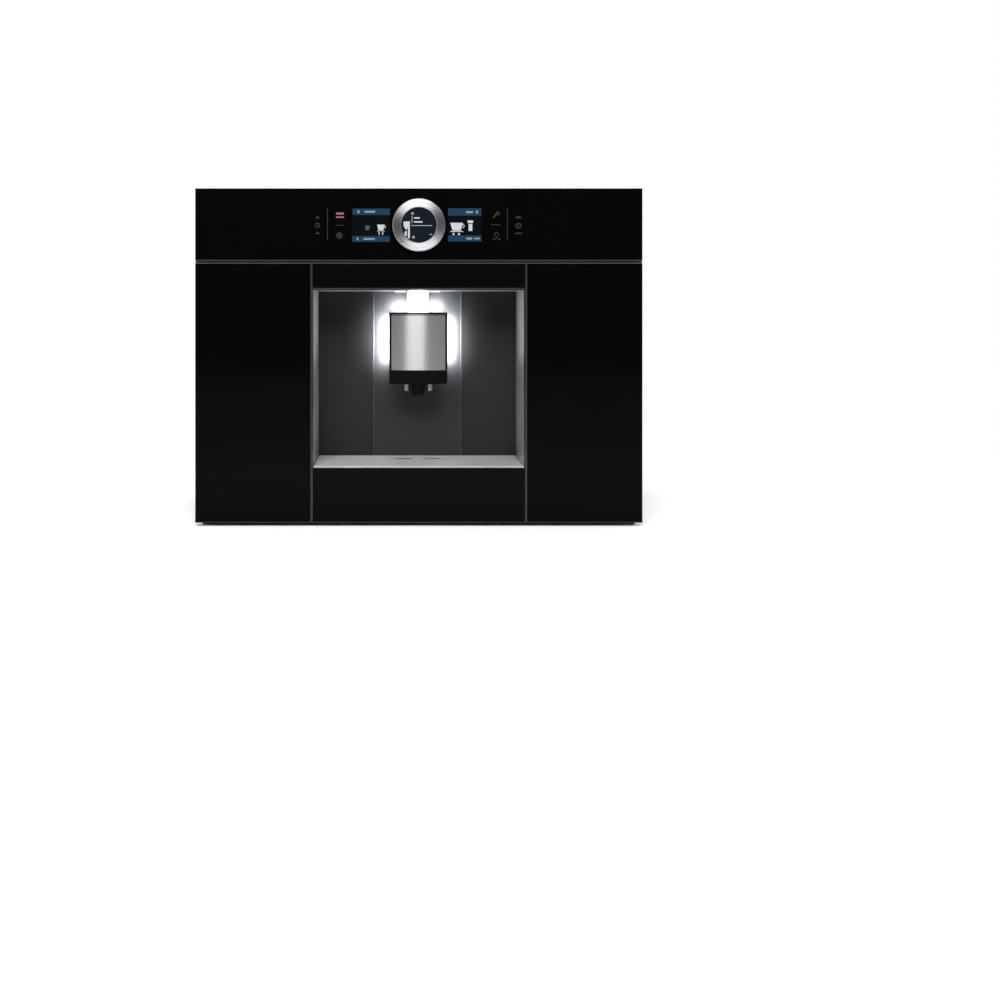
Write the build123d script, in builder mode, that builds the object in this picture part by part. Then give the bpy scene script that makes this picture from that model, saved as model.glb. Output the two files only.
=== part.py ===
"""Built-in coffee machine for a 600 mm wide cabinet, modelled piece by piece.

Millimetres. +X is the viewer's right, +Y goes into the cabinet, +Z is up.
The origin lies under the middle of the machine, on the surface that it stands on.
"""
from build123d import *
from math import pi
import os

os.makedirs("parts", exist_ok=True)

# ------------------------------------------------------------------ driving sizes
# Overall
face_width = 594.0  # door and control panel
face_height = 449.0  # base to the top of the control panel
overall_depth = 385.0  # face of the selector ring to the heads of the rear screws
body_width = 556.0
body_height = 444.0

# Clearances
running = 0.05  # radial, a shaft in its bore
seat = 0.3  # between a piece and what it rests on or slides in
joint_gap = 0.2  # between two glass fields or a glass field and its trim
reveal = 3.0  # open gap round the door

# Layers of the front
ring_stand = 8.0  # the ring stands this far in front of the glass
glass_thickness = 4.0
door_core = 12.0
flange_thickness = 3.0
flange_inset = 7.0  # the face overhangs the flange at each side
flange_width = face_width - 2 * flange_inset
panel_height = 96.0
plinth_gap = 5.0  # recessed strip under the door
edge_break = 0.4

# Levels in depth. What is inside hangs behind the front, so a deeper body only adds room at the rear.
ring_face_y = -overall_depth / 2
rear_y = overall_depth / 2
glass_y = ring_face_y + ring_stand
core_y = glass_y + glass_thickness
door_back_y = core_y + door_core
flange_y = door_back_y + reveal
cabinet_y = flange_y + flange_thickness
unit_setback = 4.5  # tank and brew unit behind the front frame
unit_front = cabinet_y + unit_setback

# Cup recess
recess_width = 282.0
recess_bottom = 77.0
recess_top = 314.0
recess_depth = 130.0
recess_back_y = glass_y + recess_depth
trim_thickness = 1.5
groove_offset = 63.0
groove_width = 3.0
groove_depth = 1.5
back_panel_thickness = 4.0

# Sheet-metal body
sheet = 1.5
fold = 5.0
tray_fold = 18.0
screw_head = 1.5
screw_head_radius = 3.5
screw_radius = 1.9

# Door hinge
hinge_inset = 6.0
hinge_margin = 20.0
hinge_height = 40.0
knuckle_radius = 5.0
pin_radius = 2.5
leaf_knuckle = 12.0
knuckle_gap = 0.5
leaf_thickness = 2.8
leaf_reach = 36.0
notch_width = 19.0
bracket_thickness = 2.0

# Selector ring
ring_drop = 49.0  # from the top of the face to the ring's axis
ring_height = face_height - ring_drop
ring_outer_radius = 35.0
ring_inner_radius = 23.5
hub_radius = 22.0
hub_wall = 2.0
sleeve_wall = 3.5
ring_depth = 7.5

# Outlet
outlet_width = 79.0
outlet_top = 284.0
outlet_bottom = 187.0
outlet_setback = 30.0  # cover behind the glass
outlet_bulge = 10.0
outlet_standoff = 20.5  # before the back panel
outlet_back = recess_back_y - outlet_standoff
cover_width = 73.0
cover_bottom = 206.0
cover_thickness = 2.0
column_width = 30.0
column_setback = 54.5  # behind the glass
column_front = glass_y + column_setback
outlet_rise = 26.0
nozzle_radius = 4.4
nozzle_bore = 2.5
nozzle_spacing = 32.0
nozzle_length = 10.5
spout_length = 16.0
spout_width = 20.0

# Drip tray and plate
plate_thickness = 2.2
plate_margin = 1.2
tray_margin = 2.5
tray_wall = 2.0
tray_bottom = 10.0
slit_start = 3.5
slit_end = 37.0
slit_depth = 10.0

# Water tank, left bay
tank_left = -264.0
tank_right = -156.0
tank_depth = 96.0
tank_front = unit_front
tank_back = tank_front + tank_depth
tank_height = 232.0
tank_wall = 2.5
shelf_level = 96.0
shelf_thickness = 3.0
bay_margin = 4.0

# Brew unit, right bay
brew_left = 152.0
brew_right = 256.0
brew_depth = 126.0
brew_front = unit_front
brew_back = brew_front + brew_depth
brew_bottom = 38.0
brew_top = 230.0
brew_wall = 3.0
brew_deck = 6.0
chamber_x = 195.0
chamber_inset = 58.0
chamber_y = brew_front + chamber_inset
chamber_bore = 22.5
chamber_wall = 5.0
chamber_bottom = 90.0
chamber_top = 150.0
piston_travel = 36.0
piston_height = 16.0
piston_entry = 10.0
spindle_x = 240.0
spindle_radius = 4.0
piston_lead = 12.0  # for one turn of the spindle
lock_pin_radius = 2.0
lock_arm = 35.0

# Grinder and bean container, right bay
grinder_x = 210.0
grinder_setback = 187.5
grinder_y = cabinet_y + grinder_setback
grinder_radius = 38.0
grinder_wall = 4.0
grinder_height = 60.0
grinder_shelf_level = 240.0
motor_radius = 31.0
motor_height = 87.0
burr_shaft_radius = 4.0
selector_x = 190.0
selector_z = 268.0
selector_radius = 11.0
bean_left = 154.0
bean_right = 266.0
bean_height = 44.0

# ------------------------------------------------------------------ derived levels
cover_sheet_y = rear_y - screw_head - sheet  # inner face of the rear cover

face_half = face_width / 2
body_half = body_width / 2
flange_half = flange_width / 2
recess_half = recess_width / 2
trim_half = recess_half + trim_thickness
door_bottom = plinth_gap
door_top = face_height - panel_height - reveal
panel_bottom = face_height - panel_height
liner_outer = recess_half + trim_thickness
inner_side = body_half - sheet - seat

hinge_x = -face_half + hinge_inset
hinge_y = (core_y + door_back_y) / 2
hinge_levels = (door_bottom + hinge_margin, door_top - hinge_margin - hinge_height)

pieces = []


def upright(y):
    """Plane at depth y whose sketches read (x, z). Extrusion goes towards the viewer."""
    return Plane.XZ.offset(-y)


def rect(left, right, bottom, top, mode=Mode.ADD):
    """Rectangle in the current sketch, given by its four sides."""
    with Locations(((left + right) / 2, (bottom + top) / 2)):
        Rectangle(right - left, top - bottom, mode=mode)


def keep(builder, name):
    """Label a finished piece and put it on the list of pieces to write."""
    builder.part.label = name
    pieces.append(builder)


# ------------------------------------------------------------------ door
def glass_field(left, right, bottom, top):
    """One pane of the front, its front edges broken."""
    with BuildPart() as pane:
        with BuildSketch(upright(core_y)):
            rect(left, right, bottom, top)
        extrude(amount=glass_thickness)
        chamfer(pane.faces().sort_by(Axis.Y)[0].edges(), edge_break)
    return pane


side_inner = trim_half + joint_gap
fascia_half = recess_half - joint_gap
trim_top = recess_top + trim_thickness

keep(glass_field(-face_half, -side_inner, door_bottom, door_top), "door_glass_left")
keep(glass_field(side_inner, face_half, door_bottom, door_top), "door_glass_right")
keep(glass_field(-fascia_half, fascia_half, trim_top + joint_gap, door_top), "door_fascia_upper")
keep(glass_field(-fascia_half, fascia_half, door_bottom, recess_bottom), "door_fascia_lower")

# The trim is a portal as deep as the door, whose two posts run on between the glass fields.
with BuildPart() as window_trim:
    with BuildSketch(upright(door_back_y)):
        rect(-trim_half, trim_half, recess_bottom, trim_top)
        rect(-recess_half, recess_half, recess_bottom, recess_top, Mode.SUBTRACT)
    extrude(amount=door_core + glass_thickness)
    with BuildSketch(upright(core_y)):
        for side in (-1, 1):
            with Locations((side * (recess_half + trim_half) / 2, (door_bottom + door_top) / 2)):
                Rectangle(trim_thickness, door_top - door_bottom)
    extrude(amount=glass_thickness)
keep(window_trim, "window_trim")

pocket_depth = 9.5
pocket_spacing = (46.0, 66.0)
pocket_size = (42.0, 60.0)
pocket_counts = (2, 5)
pocket_shift = 18.0
field_center = (face_half + side_inner) / 2 - pocket_shift
panel_relief = 1.0
relief_width = 80.0
relief_margin = 20.0
relief_radius = 10.0
notch_margin = 1.0

# Moulded core of the door: ribbed behind the glass, smooth with a shallow relief inside.
with BuildPart() as door_frame:
    with BuildSketch(upright(door_back_y)):
        rect(-face_half, face_half, door_bottom, door_top)
        rect(-side_inner, side_inner, recess_bottom, trim_top + joint_gap, Mode.SUBTRACT)
    extrude(amount=door_core)
    for level in hinge_levels:
        with BuildSketch(upright(door_back_y)):
            rect(-face_half, -face_half + notch_width, level - notch_margin,
                 level + hinge_height + notch_margin)
        extrude(amount=door_core, mode=Mode.SUBTRACT)
        with BuildSketch(upright(core_y + leaf_thickness + seat)):
            rect(-face_half, hinge_x + leaf_reach + seat, level - notch_margin,
                 level + hinge_height + notch_margin)
        extrude(amount=leaf_thickness + seat, mode=Mode.SUBTRACT)
    with BuildSketch(upright(core_y + pocket_depth)):
        for side in (-1, 1):
            with Locations((side * field_center, (door_bottom + door_top) / 2)):
                with GridLocations(*pocket_spacing, *pocket_counts):
                    Rectangle(*pocket_size)
    extrude(amount=pocket_depth, mode=Mode.SUBTRACT)
    with BuildSketch(upright(door_back_y)):
        for side in (-1, 1):
            with Locations((side * field_center, (door_bottom + door_top) / 2)):
                RectangleRounded(relief_width, door_top - door_bottom - 2 * relief_margin, relief_radius)
    extrude(amount=panel_relief, mode=Mode.SUBTRACT)
keep(door_frame, "door_frame")

# Each leaf is a plate behind the glass with a knuckle above and below the bracket's one.
bracket_knuckle = hinge_height - 2 * leaf_knuckle - 2 * knuckle_gap
swing_relief = 1.5
with BuildPart() as hinge_leaves:
    for level in hinge_levels:
        with BuildSketch(upright(core_y + joint_gap / 2 + leaf_thickness)):
            rect(hinge_x, hinge_x + leaf_reach, level, level + hinge_height)
            rect(hinge_x, hinge_x + knuckle_radius + swing_relief, level + leaf_knuckle,
                 level + hinge_height - leaf_knuckle, Mode.SUBTRACT)
        extrude(amount=leaf_thickness)
        for start in (level, level + hinge_height - leaf_knuckle):
            with BuildSketch(Plane.XY.offset(start)):
                with Locations((hinge_x, hinge_y)):
                    Circle(knuckle_radius)
            extrude(amount=leaf_knuckle)
            with BuildSketch(Plane.XY.offset(start)):
                with Locations((hinge_x, hinge_y)):
                    Circle(pin_radius + running)
            extrude(amount=leaf_knuckle, mode=Mode.SUBTRACT)
keep(hinge_leaves, "hinge_leaves")

with BuildPart() as hinge_pins:
    for level in hinge_levels:
        with BuildSketch(Plane.XY.offset(level - knuckle_gap)):
            with Locations((hinge_x, hinge_y)):
                Circle(pin_radius)
        extrude(amount=hinge_height + 2 * knuckle_gap)
keep(hinge_pins, "hinge_pins")

bracket_left = -flange_half
bracket_width = 21.5  # clear of the tank bay
arm_left = 3.0
arm_right = 5.0
with BuildPart() as hinge_brackets:
    for level in hinge_levels:
        knuckle_start = level + leaf_knuckle + knuckle_gap
        with BuildSketch(upright(flange_y)):
            rect(bracket_left, bracket_left + bracket_width, level, level + hinge_height)
        extrude(amount=bracket_thickness)
        with BuildSketch(Plane.XY.offset(knuckle_start)):
            rect(hinge_x - arm_left, hinge_x + arm_right, hinge_y, flange_y - bracket_thickness / 2)
            with Locations((hinge_x, hinge_y)):
                Circle(knuckle_radius)
        extrude(amount=bracket_knuckle)
        with BuildSketch(Plane.XY.offset(knuckle_start)):
            with Locations((hinge_x, hinge_y)):
                Circle(pin_radius + running)
        extrude(amount=bracket_knuckle, mode=Mode.SUBTRACT)
keep(hinge_brackets, "hinge_brackets")

strike_size = (18.0, 30.0)
strike_thickness = 1.2
catch_x = 273.0
catch_center = (catch_x, (door_bottom + door_top) / 2)
with BuildPart() as door_strike:
    with BuildSketch(upright(door_back_y + strike_thickness)):
        with Locations(catch_center):
            Rectangle(*strike_size)
    extrude(amount=strike_thickness)
keep(door_strike, "door_strike")

catch_size = (20.0, 36.0)
catch_body = (16.0, 32.0)
with BuildPart() as door_catch:
    with BuildSketch(upright(flange_y)):
        with Locations(catch_center):
            Rectangle(*catch_size)
    extrude(amount=reveal - strike_thickness - seat)
    with BuildSketch(upright(cabinet_y)):
        with Locations(catch_center):
            Rectangle(*catch_body)
    extrude(amount=flange_thickness)
keep(door_catch, "door_catch")

# ------------------------------------------------------------------ body shell
runner_offset = 100.0
runner_width = 8.0
runner_margin = 5.0
fold_setback = sheet + seat
vent_slot = (84.0, 5.0)
floor_vents = ((0.0, 110.0), (104.0, 30.0), (4, 3))
roof_vents = ((0.0, 120.0), (104.0, 16.0), (4, 5))


def vents(center, pitch, counts):
    """A pattern of slots cut through the sheet being drawn."""
    with Locations(center):
        with GridLocations(*pitch, *counts):
            Rectangle(*vent_slot)


with BuildPart() as base_tray:
    with BuildSketch(upright(cover_sheet_y)):
        rect(-body_half, body_half, 0, sheet)
    extrude(amount=cover_sheet_y - cabinet_y)
    with BuildSketch(upright(cover_sheet_y - fold_setback)):
        for side in (-1, 1):
            with Locations((side * (inner_side - sheet / 2), (sheet + tray_fold) / 2)):
                Rectangle(sheet, tray_fold - sheet)
    extrude(amount=cover_sheet_y - cabinet_y - 2 * fold_setback)
    with BuildSketch(upright(recess_back_y - runner_margin)):
        for side in (-1, 1):
            with Locations((side * runner_offset, (sheet + tray_bottom - seat) / 2)):
                Rectangle(runner_width, tray_bottom - seat - sheet)
    extrude(amount=recess_back_y - cabinet_y - 2 * runner_margin)
    with BuildSketch(Plane.XY):
        vents(*floor_vents)
    extrude(amount=sheet, mode=Mode.SUBTRACT)
keep(base_tray, "base_tray")

cabinet_screw_setback = 17.5
cabinet_screw_y = cabinet_y + cabinet_screw_setback
cabinet_screw_levels = (60.0, 380.0)
cabinet_hole_radius = 2.25
louvre_size = (44.0, 5.0)
louvre_center = (110.0, 250.0)
louvre_pitch = (60.0, 18.0)
louvre_counts = (2, 6)


def side_panel(side):
    """A sheet cheek folded in at the front and at the rear, with louvres and two fixing holes."""
    outer = side * body_half
    inner = side * (body_half - sheet)
    tip = side * (body_half - sheet - fold)
    with BuildPart() as panel:
        with BuildSketch(Plane.XY.offset(sheet)):
            with BuildLine():
                Polyline((outer, cabinet_y), (tip, cabinet_y), (tip, cabinet_y + sheet),
                         (inner, cabinet_y + sheet), (inner, cover_sheet_y - sheet),
                         (tip, cover_sheet_y - sheet), (tip, cover_sheet_y),
                         (outer, cover_sheet_y), close=True)
            make_face()
        extrude(amount=body_height - 2 * sheet)
        with BuildSketch(Plane.YZ.offset(min(outer, inner))):
            with Locations(louvre_center):
                with GridLocations(*louvre_pitch, *louvre_counts):
                    Rectangle(*louvre_size)
            with Locations(*[(cabinet_screw_y, level) for level in cabinet_screw_levels]):
                Circle(cabinet_hole_radius)
        extrude(amount=sheet, mode=Mode.SUBTRACT)
    return panel


keep(side_panel(-1), "side_panel_left")
keep(side_panel(1), "side_panel_right")

with BuildPart() as top_cover:
    with BuildSketch(upright(cover_sheet_y)):
        rect(-body_half, body_half, body_height - sheet, body_height)
    extrude(amount=cover_sheet_y - cabinet_y)
    with BuildSketch(upright(cover_sheet_y - fold_setback)):
        for side in (-1, 1):
            with Locations((side * (inner_side - sheet / 2), body_height - sheet - tray_fold / 2)):
                Rectangle(sheet, tray_fold)
    extrude(amount=cover_sheet_y - cabinet_y - 2 * fold_setback)
    with BuildSketch(Plane.XY.offset(body_height - sheet)):
        vents(*roof_vents)
    extrude(amount=sheet, mode=Mode.SUBTRACT)
keep(top_cover, "top_cover")

gland_center = (-225.0, 55.0)
gland_radius = 8.0
gland_bore = 3.6
gland_flange = 11.0
rear_vent_pitch = (104.0, 14.0)
rear_vents = (((0.0, 355.0), rear_vent_pitch, (4, 5)), ((52.0, 75.0), rear_vent_pitch, (3, 3)))
screw_inset = 13.0
rear_screws = [(x * (body_half - screw_inset), z) for x in (-1, 0, 1)
               for z in (screw_inset, body_height - screw_inset)]
with BuildPart() as rear_cover:
    with BuildSketch(upright(cover_sheet_y + sheet)):
        rect(-body_half, body_half, 0, body_height)
    extrude(amount=sheet)
    with BuildSketch(upright(cover_sheet_y + sheet)):
        for pattern in rear_vents:
            vents(*pattern)
        with Locations(gland_center):
            Circle(gland_radius)
        with Locations(*rear_screws):
            Circle(screw_radius + running)
    extrude(amount=sheet, mode=Mode.SUBTRACT)
keep(rear_cover, "rear_cover")

with BuildPart() as body_screws:
    with BuildSketch(upright(rear_y)):
        with Locations(*rear_screws):
            RegularPolygon(screw_head_radius, 6)
    extrude(amount=screw_head)
    with BuildSketch(upright(rear_y - screw_head)):
        with Locations(*rear_screws):
            Circle(screw_radius)
    extrude(amount=sheet)
keep(body_screws, "body_screws")

gland_lip = 1.5
gland_depth = 8.0
gland_taper = 2.0
with BuildPart() as cable_gland:
    with BuildSketch(Plane.XY):
        with BuildLine():
            Polyline((gland_bore, cover_sheet_y - gland_depth),
                     (gland_radius - seat, cover_sheet_y - gland_depth),
                     (gland_radius - seat, cover_sheet_y - gland_lip),
                     (gland_flange, cover_sheet_y - gland_lip), (gland_flange, cover_sheet_y),
                     (gland_radius - running, cover_sheet_y),
                     (gland_radius - running, cover_sheet_y + sheet),
                     (gland_flange - gland_taper / 2, cover_sheet_y + sheet),
                     (gland_flange - gland_taper, rear_y), (gland_bore, rear_y), close=True)
        make_face()
    revolve(axis=Axis.Y)
cable_gland.part.position = (gland_center[0], 0, gland_center[1])
keep(cable_gland, "cable_gland")

# ------------------------------------------------------------------ front frame
tank_headroom = 10.0
brew_headroom = 6.0
bean_headroom = 3.5
unit_margin = 2.0
tray_bay_bottom = 6.0
bean_bottom = grinder_shelf_level + grinder_height + 2 * seat
tank_opening = (tank_left - bay_margin, tank_right + bay_margin, shelf_level,
                shelf_level + tank_height + tank_headroom)
brew_opening = (brew_left - unit_margin, brew_right + unit_margin, brew_bottom - unit_margin,
                brew_top + brew_headroom)
bean_opening = (bean_left - unit_margin, bean_right + unit_margin, bean_bottom - unit_margin,
                bean_bottom + bean_height + bean_headroom)
lip_wall = 2.0
lip_depth = 8.0
switch_x = 205.0
switch_z = 18.0
switch_size = (19.6, 11.2)
switch_tilt = 6.0
switch_pin_radius = 1.5
switch_pivot_y = flange_y + 4.5
switch_play = 1.3
lug_reach = 8.0
lug_thickness = 3.0
lug_height = 10.0
lug_offset = switch_size[0] / 2 + 1.0 + lug_thickness / 2
lug_bore = 2 * (lug_offset + lug_thickness)

with BuildPart() as front_frame:
    with BuildSketch(upright(cabinet_y)):
        rect(-flange_half, flange_half, 0, panel_bottom)
        rect(-liner_outer - seat, liner_outer + seat, tray_bay_bottom - seat, trim_top + seat, Mode.SUBTRACT)
        for opening in (tank_opening, brew_opening, bean_opening):
            rect(*opening, Mode.SUBTRACT)
        with Locations((selector_x, selector_z)):
            Circle(selector_radius + seat, mode=Mode.SUBTRACT)
        with Locations((switch_x, switch_z)):
            Rectangle(switch_size[0] + 2 * seat, switch_size[1] + 2 * switch_play, mode=Mode.SUBTRACT)
        with Locations(catch_center):
            Rectangle(catch_body[0] + 2 * seat, catch_body[1] + 2 * seat, mode=Mode.SUBTRACT)
    extrude(amount=flange_thickness)
    with BuildSketch(upright(cabinet_y + lip_depth)):
        for left, right, bottom, top in (tank_opening, brew_opening, bean_opening):
            rect(left - lip_wall, right + lip_wall, bottom - lip_wall, top + lip_wall)
            rect(left, right, bottom, top, Mode.SUBTRACT)
    extrude(amount=lip_depth)
    with BuildSketch(upright(cabinet_y + lug_reach)):
        for side in (-1, 1):
            with Locations((switch_x + side * lug_offset, switch_z)):
                Rectangle(lug_thickness, lug_height)
    extrude(amount=lug_reach)
    with BuildSketch(Plane.YZ.offset(switch_x - lug_bore / 2)):
        with Locations((switch_pivot_y, switch_z)):
            Circle(switch_pin_radius + running)
    extrude(amount=lug_bore, mode=Mode.SUBTRACT)
keep(front_frame, "front_frame")

# The rocker rests tipped to its "on" side. Its pin turns in two lugs behind the front frame.
rocker_front = flange_y - 0.7
rocker_back = switch_pivot_y + 2.2
rocker_half = switch_size[1] / 2
rocker_taper = 1.0
rocker_hollow = 0.5
switch_pin_reach = lug_offset + lug_thickness / 2
with BuildPart() as mains_switch:
    with BuildSketch(Plane.YZ.offset(switch_x - switch_size[0] / 2)):
        with BuildLine():
            Polyline((rocker_front, rocker_half), (rocker_back, rocker_half - rocker_taper),
                     (rocker_back, rocker_taper - rocker_half), (rocker_front, -rocker_half))
            ThreePointArc((rocker_front, -rocker_half), (rocker_front + rocker_hollow, 0),
                          (rocker_front, rocker_half))
        make_face()
    extrude(amount=switch_size[0])
    with BuildSketch(Plane.YZ.offset(switch_x - switch_pin_reach)):
        with Locations((switch_pivot_y, 0)):
            Circle(switch_pin_radius)
    extrude(amount=2 * switch_pin_reach)
tilt_axis = Axis((0, switch_pivot_y, 0), (1, 0, 0))
mains_switch.part = mains_switch.part.rotate(tilt_axis, switch_tilt).translate((0, 0, switch_z))
keep(mains_switch, "mains_switch")

# ------------------------------------------------------------------ cup recess
with BuildPart() as niche_liner:
    with BuildSketch(upright(recess_back_y + back_panel_thickness)):
        rect(-liner_outer, liner_outer, tray_bay_bottom, trim_top)
        rect(-recess_half, recess_half, tray_bay_bottom, recess_top, Mode.SUBTRACT)
    extrude(amount=recess_back_y + back_panel_thickness - flange_y)
keep(niche_liner, "niche_liner")

panel_half = recess_half - joint_gap / 2
with BuildPart() as niche_back_panel:
    with BuildSketch(upright(recess_back_y + back_panel_thickness)):
        rect(-panel_half, panel_half, tray_bay_bottom + sheet, recess_top - joint_gap / 2)
    extrude(amount=back_panel_thickness)
    with BuildSketch(upright(recess_back_y + groove_depth)):
        for side in (-1, 1):
            groove_x = side * groove_offset
            rect(groove_x - groove_width / 2, groove_x + groove_width / 2, recess_bottom, recess_top)
    extrude(amount=groove_depth, mode=Mode.SUBTRACT)
keep(niche_back_panel, "niche_back_panel")

# Two light strips stand behind the outlet, and two lie under the ceiling beside the column.
strip_depth = 2.5
strip_size = (8.0, 66.0)
strip_center = (28.0, 247.0)
ceiling_lamp_depth = 1.2
ceiling_lamp_size = (14.0, 50.0)
ceiling_lamp_inset = 30.5
ceiling_lamp_center = (24.0, recess_back_y - ceiling_lamp_inset)
with BuildPart() as niche_lamps:
    with BuildSketch(upright(recess_back_y)):
        for side in (-1, 1):
            with Locations((side * strip_center[0], strip_center[1])):
                Rectangle(*strip_size)
    extrude(amount=strip_depth)
    with BuildSketch(Plane.XY.offset(recess_top - ceiling_lamp_depth)):
        for side in (-1, 1):
            with Locations((side * ceiling_lamp_center[0], ceiling_lamp_center[1])):
                Rectangle(*ceiling_lamp_size)
    extrude(amount=ceiling_lamp_depth - joint_gap / 2)
keep(niche_lamps, "niche_lamps")

column_half = column_width / 2
column_round = 6.0
slot_floor = outlet_bottom + 4.0
column_bottom = slot_floor + outlet_rise + 3.0
with BuildPart() as outlet_column:
    with BuildSketch(Plane.XY.offset(column_bottom)):
        rect(-column_half, column_half, column_front, recess_back_y)
    extrude(amount=recess_top - joint_gap / 2 - column_bottom)
    front_edges = outlet_column.edges().filter_by(Axis.Z).group_by(Axis.Y)[0]
    fillet(front_edges, column_round)
keep(outlet_column, "outlet_column")

# ------------------------------------------------------------------ outlet
cover_front = glass_y + outlet_setback
outlet_half = outlet_width / 2
bow_radius = (outlet_half**2 + outlet_bulge**2) / (2 * outlet_bulge)
bow_center_y = cover_front + bow_radius


def bowed_outline(half_width, inset, back, level):
    """Plan with straight sides and back whose front is an arc, inset from the outermost front."""
    radius = bow_radius - inset
    corner = bow_center_y - (radius**2 - half_width**2) ** 0.5
    with BuildSketch(Plane.XY.offset(level)) as outline:
        with BuildLine():
            ThreePointArc((-half_width, corner), (0, bow_center_y - radius), (half_width, corner))
            Polyline((half_width, corner), (half_width, back), (-half_width, back), (-half_width, corner))
        make_face()
    return outline.sketch


column_play = 0.5
slot_half = column_half + column_play
cap_thickness = 1.5
skirt_edge = 1.0
with BuildPart() as outlet_housing:
    body_plan = bowed_outline(outlet_half, cover_thickness + seat, outlet_back, outlet_bottom)
    extrude(body_plan, amount=outlet_top - outlet_bottom)
    skirt_plan = bowed_outline(outlet_half, 0, outlet_back, outlet_bottom)
    extrude(skirt_plan, amount=cover_bottom - seat - outlet_bottom)
    cap_plan = bowed_outline(outlet_half, 0, outlet_back, outlet_top - cap_thickness)
    extrude(cap_plan, amount=cap_thickness)
    chamfer(outlet_housing.faces().sort_by(Axis.Z)[0].edges(), skirt_edge)
    with BuildSketch(Plane.XY.offset(slot_floor)):
        rect(-slot_half, slot_half, column_front - column_play, outlet_back)
    extrude(amount=outlet_top - slot_floor, mode=Mode.SUBTRACT)
keep(outlet_housing, "outlet_housing")

# The removable steel front: a bowed shell with its upper front edge broken.
cover_half = cover_width / 2
cover_height = outlet_top - cap_thickness - seat - cover_bottom
cover_edge = 1.2
with BuildPart() as outlet_cover:
    extrude(bowed_outline(cover_half, 0, outlet_back, cover_bottom), amount=cover_height)
    extrude(bowed_outline(cover_half, cover_thickness, outlet_back, cover_bottom),
            amount=cover_height, mode=Mode.SUBTRACT)
    chamfer(outlet_cover.faces().sort_by(Axis.Z)[-1].edges().sort_by(Axis.Y)[0], cover_edge)
keep(outlet_cover, "outlet_cover")

nozzle_setback = 56.5
nozzle_y = glass_y + nozzle_setback
nozzle_edge = 0.8
spout_depth = 16.0
spout_corner = 5.0
spout_taper = 6.0  # degrees
spout_bore = 4.0
spout_bore_depth = 10.0
nozzle_spots = ((-nozzle_spacing / 2, nozzle_y), (nozzle_spacing / 2, nozzle_y))
with BuildPart() as coffee_nozzles:
    with BuildSketch(Plane.XY.offset(outlet_bottom)):
        with Locations(*nozzle_spots):
            Circle(nozzle_radius)
    extrude(amount=-nozzle_length)
    chamfer(coffee_nozzles.faces().group_by(Axis.Z)[0].edges(), nozzle_edge)
    with BuildSketch(Plane.XY.offset(outlet_bottom)):
        with Locations(*nozzle_spots):
            Circle(nozzle_bore)
    extrude(amount=-nozzle_length, mode=Mode.SUBTRACT)
keep(coffee_nozzles, "coffee_nozzles")

with BuildPart() as milk_spout:
    with BuildSketch(Plane.XY.offset(outlet_bottom)):
        with Locations((0, nozzle_y)):
            RectangleRounded(spout_width, spout_depth, spout_corner)
    extrude(amount=-spout_length, taper=spout_taper)
    with BuildSketch(Plane.XY.offset(outlet_bottom - spout_length)):
        with Locations((0, nozzle_y)):
            Circle(spout_bore)
    extrude(amount=spout_bore_depth, mode=Mode.SUBTRACT)
keep(milk_spout, "milk_spout")

# ------------------------------------------------------------------ drip tray
plate_lift = 0.8
plate_edge = 0.6
plate_setback = 1.0
plate_bottom = recess_bottom + plate_lift
plate_half = recess_half - plate_margin
slit_mid = (slit_start + slit_end) / 2
slit_setback = 89.5
slit_y = glass_y + slit_setback
with BuildPart() as drip_plate:
    with BuildSketch(Plane.XY.offset(plate_bottom)):
        rect(-plate_half, plate_half, glass_y + plate_setback, recess_back_y - plate_margin)
        for side in (-1, 1):
            start = (side * slit_start, slit_y)
            end = (side * slit_end, slit_y)
            with BuildLine():
                ThreePointArc(start, (side * slit_mid, slit_y - slit_depth / 2), end)
                ThreePointArc(start, (side * slit_mid, slit_y + slit_depth / 2), end)
            make_face(mode=Mode.SUBTRACT)
    extrude(amount=plate_thickness)
    chamfer(drip_plate.edges().group_by(Axis.Y)[0].group_by(Axis.Z)[-1], plate_edge)
keep(drip_plate, "drip_plate")

tray_half = recess_half - tray_margin
tray_front = cabinet_y - 0.5
tray_corner = 6.0
tray_back = recess_back_y - tray_margin
tray_top = plate_bottom - seat
float_x = -100.0
float_setback = 79.5
float_y = glass_y + float_setback
float_pin_radius = 3.0
float_radius = 14.0
float_height = 12.0
float_pin_height = 30.0
tray_grip = (80.0, 4.0)
tray_grip_drop = 12.0
tray_grip_reach = 3.0
with BuildPart() as drip_tray:
    with BuildSketch(Plane.XY.offset(tray_bottom)):
        rect(-tray_half, tray_half, tray_front, tray_back)
    extrude(amount=tray_top - tray_bottom)
    fillet(drip_tray.edges().filter_by(Axis.Z), tray_corner)
    offset(amount=-tray_wall, openings=drip_tray.faces().sort_by(Axis.Z)[-1])
    with BuildSketch(Plane.XY.offset(tray_bottom + tray_wall)):
        with Locations((float_x, float_y)):
            Circle(float_pin_radius)
    extrude(amount=float_pin_height)
    with BuildSketch(upright(tray_front)):
        with Locations((0, tray_top - tray_grip_drop)):
            Rectangle(*tray_grip)
    extrude(amount=tray_grip_reach)
keep(drip_tray, "drip_tray")

float_bottom = tray_bottom + tray_wall + seat
with BuildPart() as drip_float:
    with BuildSketch(Plane.XY.offset(float_bottom)):
        with Locations((float_x, float_y)):
            Circle(float_radius)
            Circle(float_pin_radius + seat, mode=Mode.SUBTRACT)
    extrude(amount=float_height)
keep(drip_float, "drip_float")

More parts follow.
